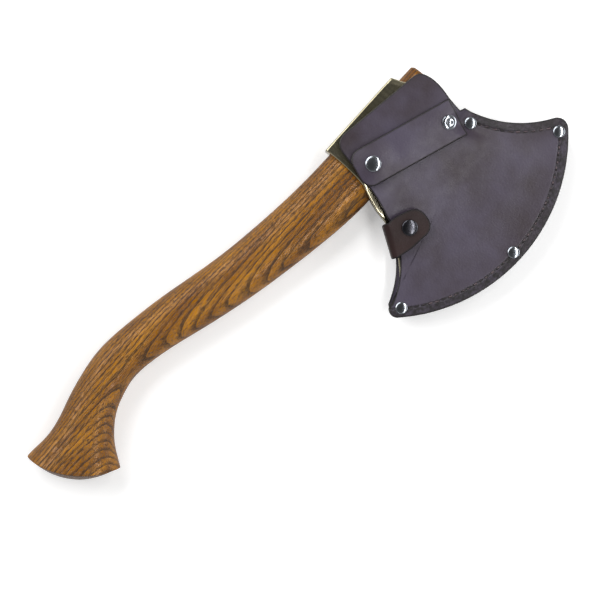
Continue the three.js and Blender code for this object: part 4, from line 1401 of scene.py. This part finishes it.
    def stitch(self, tilt: float) -> Array:
        """One stitch: a thread that arches out of the leather, thinning to its sunk ends.

        Its height and its radius fall with the fourth power of the distance from its middle.

        Args:
            tilt: how far it is turned from the stitch line, in radians.

        Returns:
            An array of ring by side by x, y, z.
        """
        crest, dive, thinning = 0.30, 0.95, 0.75
        u = np.linspace(-1, 1, self.stitch_rings)[:, None]
        a = np.linspace(0, FULL, self.stitch_sides, endpoint=False)[None, :]
        r = self.thread * np.sqrt(1 - thinning * u ** 4)
        x = u * self.stitch_length / 2 + 0 * a
        y = r * np.cos(a)
        z = crest - dive * u ** 4 + r * np.sin(a)
        c, s = math.cos(tilt), math.sin(tilt)
        return np.stack([x * c - y * s, x * s + y * c, z], axis=-1)

    def runs(self) -> list[tuple[str, Array, Array]]:
        """The stitches on each run between two rivets, at even steps of an arc.

        Returns:
            Each run's name, its stitches' middles and their directions.
        """
        s = self.swell
        found = []
        clear = self.cap[0] + self.stitch_clear
        radius = s.edge_radius - self.stitch_in
        toe, middle, heel = self.rim_rivets
        for name, a, b in (("fore", toe, middle), ("aft", middle, heel)):
            a, b = math.radians(a) - clear / radius, math.radians(b) + clear / radius
            count = int(abs(b - a) * radius / self.stitch_pitch)
            found.append((name, s.edge_centre, radius, np.linspace(a, b, count)))
        radius = s.seam_radius + self.stitch_in
        places = self.rivet_places()
        heights = (places["neck"][1] - clear, places["toe"][1] + clear + 1)
        a, b = (angle_to(s.seam_centre, self.on_seam(y, radius)) % FULL for y in heights)
        count = int(abs(b - a) * radius / self.stitch_pitch)
        found.append(("top", s.seam_centre, radius, np.linspace(a, b, count)))
        return [(name, np.stack([c[0] + r * np.cos(t), c[1] + r * np.sin(t)], axis=1), t + math.pi / 2)
                for name, c, r, t in found]

    def build_stitches(self, shop: Workshop, finishes: Finishes, face: Face) -> None:
        """The stitches of one face, run by run, each turned to its heading and set down in the channel.

        Args:
            shop: makes the meshes.
            finishes: the materials.
            face: the side of the sheath.
        """
        word = face.name.lower()
        template = self.stitch(math.radians(self.stitch_tilt * face.value))
        for name, middles, headings in self.runs():
            c, s = np.cos(headings)[:, None, None], np.sin(headings)[:, None, None]
            x, y, z = (template[None, ..., k] for k in range(3))
            px = middles[:, 0][:, None, None] + x * c - y * s
            py = middles[:, 1][:, None, None] + x * s + y * c
            base = self.swell.outside(middles[:, 0], middles[:, 1])[:, None, None] - self.groove
            points = np.stack([px, py, face.value * (base + z)], axis=-1)
            count, rings, sides = points.shape[:3]
            one = ring_faces(rings, sides)
            faces = (one[None] + (np.arange(count) * rings * sides)[:, None, None]).reshape(-1, 4)
            caps = np.array([[0, 7, 6, 5], [0, 5, 4, 3], [0, 3, 2, 1]])  # three quads close eight sides
            far = (rings - 1) * sides
            caps = np.vstack([caps, far + caps[:, ::-1]])
            caps = (caps[None] + (np.arange(count) * rings * sides)[:, None, None]).reshape(-1, 4)
            obj = shop.make(f"stitches_{word}_{name}", points.reshape(-1, 3), [faces, caps])
            settle(obj, Body.SHEATH, "waxed_thread", [f"thread_{word}_{name}"], finishes.thread)

    def build_rivets(self, shop: Workshop, finishes: Finishes) -> None:
        """The four rivets: a domed cap in front with its shank, and a domed cap set on it behind.

        Args:
            shop: makes the meshes.
            finishes: the materials.
        """
        for name, at in self.rivet_places().items():
            stack = 2 * float(self.swell.outside(*np.array(at)))
            for face, part, deep in ((Face.FRONT, "cap", stack + self.bore), (Face.BACK, "back", self.stub)):
                profile = Hardware.cap(*self.cap, self.shank, deep)
                obj = shop.turned(f"rivet_{name}_{part}_dome", profile, self.swell.upright(at, face))
                settle(obj, Body.SHEATH, "nickel", [f"rivet_{name}_{part}"], finishes.nickel)

    def build(self, shop: Workshop, finishes: Finishes) -> None:
        """Makes both panels, the welt, the stitching and the rivets.

        Args:
            shop: makes the meshes.
            finishes: the materials.
        """
        for face, inset in ((Face.FRONT, self.inset), (Face.BACK, 0.0)):
            word = face.name.lower()
            panel = shop.sheet(f"panel_{word}_leather", self.outline(inset), self.hub, self.panel(face),
                               self.roll, fine=13, counts=(30, 34), band=self.band)
            settle(panel, Body.SHEATH, "panel_leather", [f"sheath_{word}_panel"], finishes.panel)
            self.build_stitches(shop, finishes, face)
        self.build_welt(shop, finishes)
        self.build_rivets(shop, finishes)


# ---------------------------------------------------------------- rivets and snaps
class Hardware:
    """Profiles of the turned and stamped metal pieces: rows of radius and height above the leather."""

    FLANGE = 0.45  # thickness of a stud's flange
    BORE = 2.3  # how far below the panel's outer surface a strap rivet's shank ends
    STRAP_CAP = (5.3, 1.7)  # the belt strap's rivet: radius and height
    STRAP_DISH = 0.55
    SHANK = 1.6
    POST = 1.2

    @staticmethod
    def cap(radius: float, height: float, shank: float, depth: float, dish: float = 0.0) -> Array:
        """A domed cap on a shank: a rolled lip, then part of an ellipse, with a dished middle if asked.

        Args:
            radius: the cap's radius.
            height: the cap's height.
            shank: the shank's radius.
            depth: how far the shank reaches down.
            dish: how far the middle is pressed in.

        Returns:
            Rows of radius and height.
        """
        lip, bead, chamfer = 0.5 * height, 0.2, 0.15
        a = np.linspace(0, math.pi / 2, 14)
        dome = np.stack([radius * np.cos(a) * 0.985 + AXIS, GAP + lip + (height - lip) * np.sin(a)], axis=1)
        dome[:, 1] -= dish * smooth(-dome[:, 0], -0.62 * radius, -0.1 * radius)
        turn = np.linspace(-math.pi / 2, 0, 5)
        rolled = np.stack([radius - bead + bead * np.cos(turn), GAP + bead + bead * np.sin(turn)], axis=1)
        foot = [[AXIS, -depth], [shank - chamfer, -depth], [shank, -depth + chamfer], [shank, GAP]]
        return np.vstack([foot, rolled, dome])

    @staticmethod
    def stud() -> Array:
        """A snap's stud: a flange with a waisted round knob, dimpled on top."""
        base = GAP + Hardware.FLANGE
        return np.array([
            [AXIS, GAP], [4.0, GAP], [4.2, GAP + 0.15], [4.1, base],
            [2.3, base], [2.0, base + 0.3], [2.05, base + 0.6], [2.35, base + 0.95], [2.2, base + 1.2],
            [1.7, base + 1.3], [0.8, base + 1.3], [0.6, base + 0.9], [AXIS, base + 0.9]])

    @staticmethod
    def socket() -> Array:
        """A snap's socket: a rolled ring with a mouth for the stud, as a closed line."""
        low = GAP + Hardware.FLANGE + GAP
        return np.array([
            [2.75, low + 0.2], [2.95, low], [4.3, low], [4.6, low + 0.15], [4.7, low + 0.5],
            [4.7, low + 1.6], [4.4, low + 1.9], [1.5, low + 1.9], [1.5, low + 1.3], [2.9, low + 1.3]])

    @staticmethod
    def post(radius: float, flange: float, leather: float) -> Array:
        """A snap's post, whose flange is sunk in the panel's inner face.

        Args:
            radius: the post's radius.
            flange: the flange's radius.
            leather: the panel's thickness.

        Returns:
            Rows of radius and height.
        """
        chamfer, thick, top = 0.15, 0.6, 1.0
        return np.array([
            [AXIS, -leather], [flange - chamfer, -leather], [flange, -leather + chamfer],
            [flange, -leather + thick], [radius, -leather + thick], [radius, top], [AXIS, top]])


# ---------------------------------------------------------------- straps
@dataclass
class BeltStrap:
    """A plain strap across the sheath, riveted at its cut end and snapped at its round one."""

    swell: Swell = field(default_factory=Swell)
    snap: tuple[float, float] = (-21.0, -7.5)
    turn: float = -20.7
    width: float = 28.8
    end: float = 13.5
    rivet: float = 61.6
    tail: float = 70.0
    bend: float = 52.0
    corner: float = 9.0
    leather: float = 2.2
    roll: float = 0.8
    lift: float = 3.25
    rest: float = 0.30  # share of the lift that is left away from the snap
    bend_half: float = 6.0
    bulge: tuple[float, float] = (3.0, 21.0)  # from the snap, where the lift starts to fall and ends
    lift_end: float = 24.0  # from the snap, where the strap reaches its lift

    def point(self, s: Array | float, w: Array | float) -> Array:
        """A place on the strap: the snap's, plus s along it and w across it.

        Args:
            s: distance from the snap.
            w: distance from the middle line.

        Returns:
            x and y in the last axis.
        """
        a = math.radians(self.turn)
        s, w = np.asarray(s, float), np.asarray(w, float)
        return np.stack([self.snap[0] + math.cos(a) * s - math.sin(a) * w,
                         self.snap[1] + math.sin(a) * s + math.cos(a) * w], axis=-1)

    def under(self, x: Array, y: Array) -> Array:
        """Height of the strap's underside: the panel's, plus a smooth lift from the bend to the snap.

        Args:
            x: places along the handle.
            y: places towards the poll.

        Returns:
            One height for each place.
        """
        a = math.radians(self.turn)
        s = (x - self.snap[0]) * math.cos(a) + (y - self.snap[1]) * math.sin(a)
        over = 1 - smooth(np.hypot(x - self.snap[0], y - self.snap[1]), *self.bulge)
        near = smooth(-s, -self.bend, -self.lift_end) * (self.rest + (1 - self.rest) * over)
        return self.swell.outside(x, y) + GAP + (self.lift - GAP) * near

    def outline(self) -> Array:
        """The strap from above: square at the tail, round at the snap.

        Returns:
            The closed line, evenly stepped.
        """
        h, e, c = self.width / 2, -self.end, self.corner
        clip = 0.6  # taken off the tail's two corners
        pull = 0.12 * c  # a corner's control points lie this far from its sharp corner
        parts = [
            self.point([self.tail, self.tail], [-h + clip, h - clip]),
            self.point([self.tail - clip, e + c], [h, h]),
            bezier(self.point([e + c, e + pull, e, e], [h, h, h - c + pull, h - c])),
            bezier(self.point([e, e, e + pull, e + c], [c - h, c - pull - h, -h, -h])),
            self.point([self.tail - clip], [-h]),
        ]
        return evened(np.vstack(parts), 420)

    def place(self, xy: Array, side: float, share: float) -> Array:
        """Between the strap's underside and its face.

        Args:
            xy: flat points.
            side: 1 for the face, -1 for the underside.
            share: how much of the roll a point has.

        Returns:
            One design point for each flat point.
        """
        x, y = xy.T
        z = self.under(x, y) + (self.leather - share * self.roll if side > 0 else share * self.roll)
        return np.stack([x, y, z], axis=1)

    def build(self, shop: Workshop, finishes: Finishes) -> None:
        """Makes the strap, its rivet and its snap.

        Args:
            shop: makes the meshes.
            finishes: the materials.
        """
        strap = shop.sheet("belt_strap_leather", self.outline(), self.point(28, 0), self.place, self.roll,
                           fine=9, counts=(16, 30))
        top = GAP + self.leather
        x, y = self.point(self.bend, 0)
        height = float(self.swell.outside(x, y)) + top
        ends = [shop.row((*self.point(self.bend + d, 0), height)) for d in (self.bend_half, -self.bend_half)]
        span(strap, (Body.SHEATH, Body.BELT), (ends[0], ends[1]),
             ["belt_strap_root", "belt_strap_flap"], finishes.panel)
        rivet = self.point(self.rivet, 0)
        cap = Hardware.cap(*Hardware.STRAP_CAP, Hardware.SHANK, top + Hardware.BORE, Hardware.STRAP_DISH)
        obj = shop.turned("belt_rivet_dished", cap, self.swell.seat(rivet, Face.FRONT, top))
        settle(obj, Body.SHEATH, "nickel", ["belt_rivet_cap"], finishes.nickel)
        snap = Snap(self.swell, "belt", self.snap, self.lift, self.leather, Body.BELT)
        snap.build(shop, finishes, finishes.nickel, "nickel")


@dataclass
class KeeperStrap:
    """A short strap that folds round the open edge, riveted behind and snapped in front."""

    swell: Swell = field(default_factory=Swell)
    fold: tuple[tuple[float, float], tuple[float, float]] = ((-49.5, -40.5), (-64.0, -62.0))
    snap: tuple[float, float] = (-38.5, -56.0)
    leather: float = 2.0
    root: float = 24.0
    rivet: float = 14.0
    roll: float = 0.7
    lift: float = 3.25
    bend_radius: float = 3.2
    upright: float = 17.0  # length of the straight part round the edge, when laid flat
    bend_half: float = 6.0
    cap: tuple[float, float] = (4.4, 1.6)  # the rivet's cap: radius and height

    def length(self) -> float:
        """Length of the fold line."""
        (ax, ay), (bx, by) = self.fold
        return math.hypot(bx - ax, by - ay)

    def point(self, u: Array | float, v: Array | float) -> Array:
        """A place over the panel: the fold line's start, plus u inwards and v along it.

        Args:
            u: distance from the fold line.
            v: distance along it.

        Returns:
            x and y in the last axis.
        """
        (ax, ay), (bx, by) = self.fold
        fx, fy = (bx - ax) / self.length(), (by - ay) / self.length()
        u, v = np.asarray(u, float), np.asarray(v, float)
        return np.stack([ax - fy * u + fx * v, ay + fx * u + fy * v], axis=-1)

    def corner(self) -> tuple[float, float]:
        """Where a bend ends, over the panel and along the flat strap."""
        return self.leather / 2 + self.bend_radius, self.upright / 2 + math.pi / 2 * self.bend_radius

    def outline(self) -> Array:
        """The strap laid flat: first along it from the middle of the fold, then across it.

        Returns:
            The closed line, evenly stepped.
        """
        over, along = self.corner()
        size = self.length()

        def far(u: float) -> float:
            """Distance along the flat strap of a place over the panel."""
            return along + u - over

        root = -far(self.root)
        parts = [
            np.array([[-far(17), size - 3], [-along, size - 0.3], [along, size]]),
            np.array([[far(15), 22.5], [far(26), 17]]),
            bezier([(far(26), 17), (far(34), 14), (far(33), 6)]),
            bezier([(far(33), 6), (far(30), -5), (far(22), -4.6)]),
            bezier([(far(22), -4.6), (far(9), -3.4), (along, 0.2)]),
            np.array([[-along, 0.3], [-far(17), 2]]),
            bezier([(-far(17), 2), (root, 3), (root, size / 2)]),
            bezier([(root, size / 2), (root, size - 4), (-far(17), size - 3)]),
        ]
        return evened(np.vstack(parts), 420)

    def place(self, flat: Array, side: float, share: float) -> Array:
        """Wraps the flat strap round the open edge.

        Past a bend the strap follows the panel. Between the bends it stands upright beside the edge, and each
        bend is a quarter of a circle. A face lies half the leather's thickness off that middle surface.

        Args:
            flat: points of the flat strap.
            side: 1 for the outer face, -1 for the inner.
            share: how much of the roll a point has.

        Returns:
            One design point for each flat point.
        """
        a, v = flat.T
        over, along = self.corner()
        radius, half = self.bend_radius, self.upright / 2
        sign = np.where(a < 0, -1.0, 1.0)
        d = np.abs(a)
        u_flat = np.maximum(d - along, 0) + over
        turn = np.clip((d - half) / radius, 0, math.pi / 2)
        u = np.where(d > along, u_flat, over - radius * np.cos(turn))

        def level(front: bool, at: Array) -> Array:
            """Height of the strap's middle surface over the front or the back panel."""
            x, y = self.point(at, v).T
            rise = self.lift if front else GAP
            return self.swell.outside(x, y) + rise + self.leather / 2

        top, low = level(True, np.full_like(v, over)), level(False, np.full_like(v, over))
        height = np.where(a < 0, low, top)
        bent = height - radius + radius * np.sin(turn)
        straight = (top - low) / 2 + (top + low - 2 * radius) / 2 * a / half
        z = np.where(d > along, np.where(a < 0, level(False, u_flat), level(True, u_flat)), bent) * sign
        z = np.where(d < half, straight, z)
        normal_u = -np.cos(turn)
        normal_z = np.sin(turn) * sign
        offset = side * (self.leather / 2 - share * self.roll)
        x, y = self.point(u + normal_u * offset, v).T
        return np.stack([x, y, z + normal_z * offset], axis=1)

    def build(self, shop: Workshop, finishes: Finishes) -> None:
        """Makes the strap, its rivet and its snap.

        Args:
            shop: makes the meshes.
            finishes: the materials.
        """
        size = self.length()
        strap = shop.sheet("keeper_strap_leather", self.outline(), (0.0, size / 2), self.place, self.roll,
                           fine=8, counts=(14, 26))
        x, y = self.point(self.leather / 2, size / 2)
        middle = (self.lift - GAP) / 2
        ends = [shop.row((x, y, middle + d)) for d in (-self.bend_half, self.bend_half)]
        span(strap, (Body.SHEATH, Body.KEEPER), (ends[0], ends[1]),
             ["keeper_strap_root", "keeper_strap_fold", "keeper_strap_flap"], finishes.keeper)
        top = GAP + self.leather
        seat = self.swell.seat(self.point(self.rivet, size / 2), Face.BACK, top)
        dome = Hardware.cap(*self.cap, Hardware.SHANK, top + Hardware.BORE)
        obj = shop.turned("keeper_rivet_dome", dome, seat)
        settle(obj, Body.SHEATH, "nickel", ["keeper_rivet_cap"], finishes.nickel)
        snap = Snap(self.swell, "keeper", self.snap, self.lift, self.leather, Body.KEEPER)
        snap.build(shop, finishes, finishes.smoked, "blackened_nickel")


@dataclass
class Snap:
    """A press snap: post and stud on the panel, socket and cap on the strap."""

    swell: Swell
    strap: str
    at: tuple[float, float]
    lift: float
    leather: float
    body: Body
    cap: tuple[float, float] = (5.8, 1.9)
    flange: float = 4.2
    reach: float = 0.7  # how far the cap's shank reaches through the strap

    def build(self, shop: Workshop, finishes: Finishes, cap_finish: bpy.types.Material, slot: str) -> None:
        """Makes the four stamped pieces.

        Args:
            shop: makes the meshes.
            finishes: the materials.
            cap_finish: the cap's own material.
            slot: a name for the cap's finish.
        """
        seat = self.swell.seat(self.at, Face.FRONT)
        top = self.lift + self.leather
        over = self.swell.seat(self.at, Face.FRONT, top)
        cap = Hardware.cap(*self.cap, Hardware.POST, self.leather + self.reach)
        post = Hardware.post(Hardware.POST, self.flange, self.swell.leather)
        pieces = [
            ("snap_cap", shop.turned(f"{self.strap}_snap_dome", cap, over), self.body, slot, cap_finish),
            ("snap_socket", shop.turned(f"{self.strap}_snap_ring", Hardware.socket(), seat, hollow=True),
             self.body, "nickel", finishes.nickel),
            ("snap_stud", shop.turned(f"{self.strap}_snap_knob", Hardware.stud(), seat),
             Body.SHEATH, "nickel", finishes.nickel),
            ("snap_post", shop.turned(f"{self.strap}_snap_flange", post, seat),
             Body.SHEATH, "nickel", finishes.nickel),
        ]
        for part, obj, body, name, material in pieces:
            settle(obj, body, name, [f"{self.strap}_{part}"], material)


# ---------------------------------------------------------------- studio
@dataclass
class Studio:
    """A white table seen from straight above, under three long soft lamps and a pale room."""

    width: float = 0.432  # of the table that the camera sees
    distance: float = 1.8
    sensor_mm: float = 36.0
    middle: tuple[float, float] = (-0.0038, 0.0074)
    roll: float = -50.0
    table_radius: float = 4.0
    table_sides: int = 96
    table_drop: float = 0.0004  # below what lies on it

    def camera(self) -> None:
        """The camera: straight down, turned so that the head is at the upper right."""
        data = bpy.data.cameras.new("camera")
        data.sensor_width = self.sensor_mm
        data.lens = self.sensor_mm * self.distance / self.width
        data.dof.use_dof = False
        data.clip_end = 20
        obj = bpy.data.objects.new("camera", data)
        obj.location = (*self.middle, self.distance + 0.02)
        obj.rotation_euler = (0, 0, math.radians(self.roll))
        bpy.context.scene.collection.objects.link(obj)
        bpy.context.scene.camera = obj

    @staticmethod
    def lamp(name: str, place: tuple[float, float, float], size: tuple[float, float], power: float) -> None:
        """A soft rectangular lamp that faces the table's middle.

        Args:
            name: name of the lamp.
            place: where it hangs, in metres.
            size: its two sides, in metres.
            power: its power in watts.
        """
        data = bpy.data.lights.new(name, "AREA")
        data.shape, data.size, data.size_y, data.energy = "RECTANGLE", *size, power
        obj = bpy.data.objects.new(name, data)
        obj.location = place
        aim = -np.array(place) / np.linalg.norm(place)
        pitch = math.acos(-aim[2])
        yaw = math.atan2(place[1], place[0])
        obj.rotation_euler = (0, pitch, yaw)
        bpy.context.scene.collection.objects.link(obj)

    def world(self) -> None:
        """A pale room: light towards the walls and darker overhead, where the camera hangs."""
        world = bpy.data.worlds.new("room")
        bpy.context.scene.world = world
        world.use_nodes = True
        tree = world.node_tree
        tree.nodes.clear()
        place = add(tree, "ShaderNodeTexCoord")
        parts = add(tree, "ShaderNodeSeparateXYZ", {0: place.outputs["Generated"]})
        tone = add(tree, "ShaderNodeValToRGB", {"Fac": parts.outputs["Z"]},
                   stops=[(0.0, grey(0.80)), (0.40, grey(0.65)), (0.75, grey(0.25)), (1.0, grey(0.08))])
        back = add(tree, "ShaderNodeBackground", {"Color": tone.outputs[0], "Strength": 0.8})
        add(tree, "ShaderNodeOutputWorld", {"Surface": back.outputs[0]})

    def table(self) -> None:
        """The table: a smooth white sheet, round so that no corner shows."""
        material, tree = blank("white paper table")
        path = add(tree, "ShaderNodeLightPath")
        base = add(tree, "ShaderNodeBsdfDiffuse", {"Color": grey(0.9)})
        glow = add(tree, "ShaderNodeEmission", {"Color": grey(1.0), "Strength": 0.30})
        lit = add(tree, "ShaderNodeAddShader", {0: base.outputs[0], 1: glow.outputs[0]})
        both = add(tree, "ShaderNodeMixShader", {0: path.outputs["Is Camera Ray"], 1: base.outputs[0],
                   2: lit.outputs[0]})
        add(tree, "ShaderNodeOutputMaterial", {"Surface": both.outputs[0]})
        a = np.linspace(0, FULL, self.table_sides, endpoint=False)
        r = self.table_radius
        rim = np.stack([r * np.cos(a), r * np.sin(a), np.full(len(a), -self.table_drop)], axis=1)
        mesh = bpy.data.meshes.new("table")
        mesh.from_pydata(rim.tolist(), [], [list(range(len(a)))])
        mesh.materials.append(material)
        obj = bpy.data.objects.new("table", mesh)
        bpy.context.scene.collection.objects.link(obj)

    def build(self) -> None:
        """Sets the camera, the lamps, the room and the table."""
        bpy.context.scene.view_settings.view_transform = "Standard"
        self.camera()
        self.world()
        self.table()
        self.lamp("streak_lamp", (0.42, -0.50, 1.5), (0.14, 2.0), 12)
        self.lamp("side_lamp", (1.0, -1.2, 0.75), (0.5, 1.6), 9)
        self.lamp("wide_lamp", (0.1, 1.4, 1.5), (1.2, 2.0), 30)


def dress_wedges(frame: dict, finishes: Finishes) -> None:
    """The wedges and the sunk washers keep their shapes and get their real finishes.

    Args:
        frame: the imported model, as it was loaded.
        finishes: the materials.
    """
    nodes = frame["nodes"]
    for name, material in (("eye_wedge", finishes.ash), ("cross_wedge", finishes.steel),
                           ("belt_rivet_burr", finishes.nickel), ("keeper_rivet_burr", finishes.nickel)):
        dress(nodes[name], material)
        LOG.info("%s: finish %s", name, material.name)


def main() -> None:
    """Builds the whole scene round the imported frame."""
    logging.basicConfig(level=logging.INFO, format="%(name)s %(message)s")
    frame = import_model()
    shop = Workshop()
    finishes = make_finishes()
    Studio().build()
    handle = Handle()
    handle.build(shop, finishes)
    Head().build(shop, finishes, handle)
    Sheath().build(shop, finishes)
    BeltStrap().build(shop, finishes)
    KeeperStrap().build(shop, finishes)
    dress_wedges(frame, finishes)


if __name__ == "__main__":
    main()
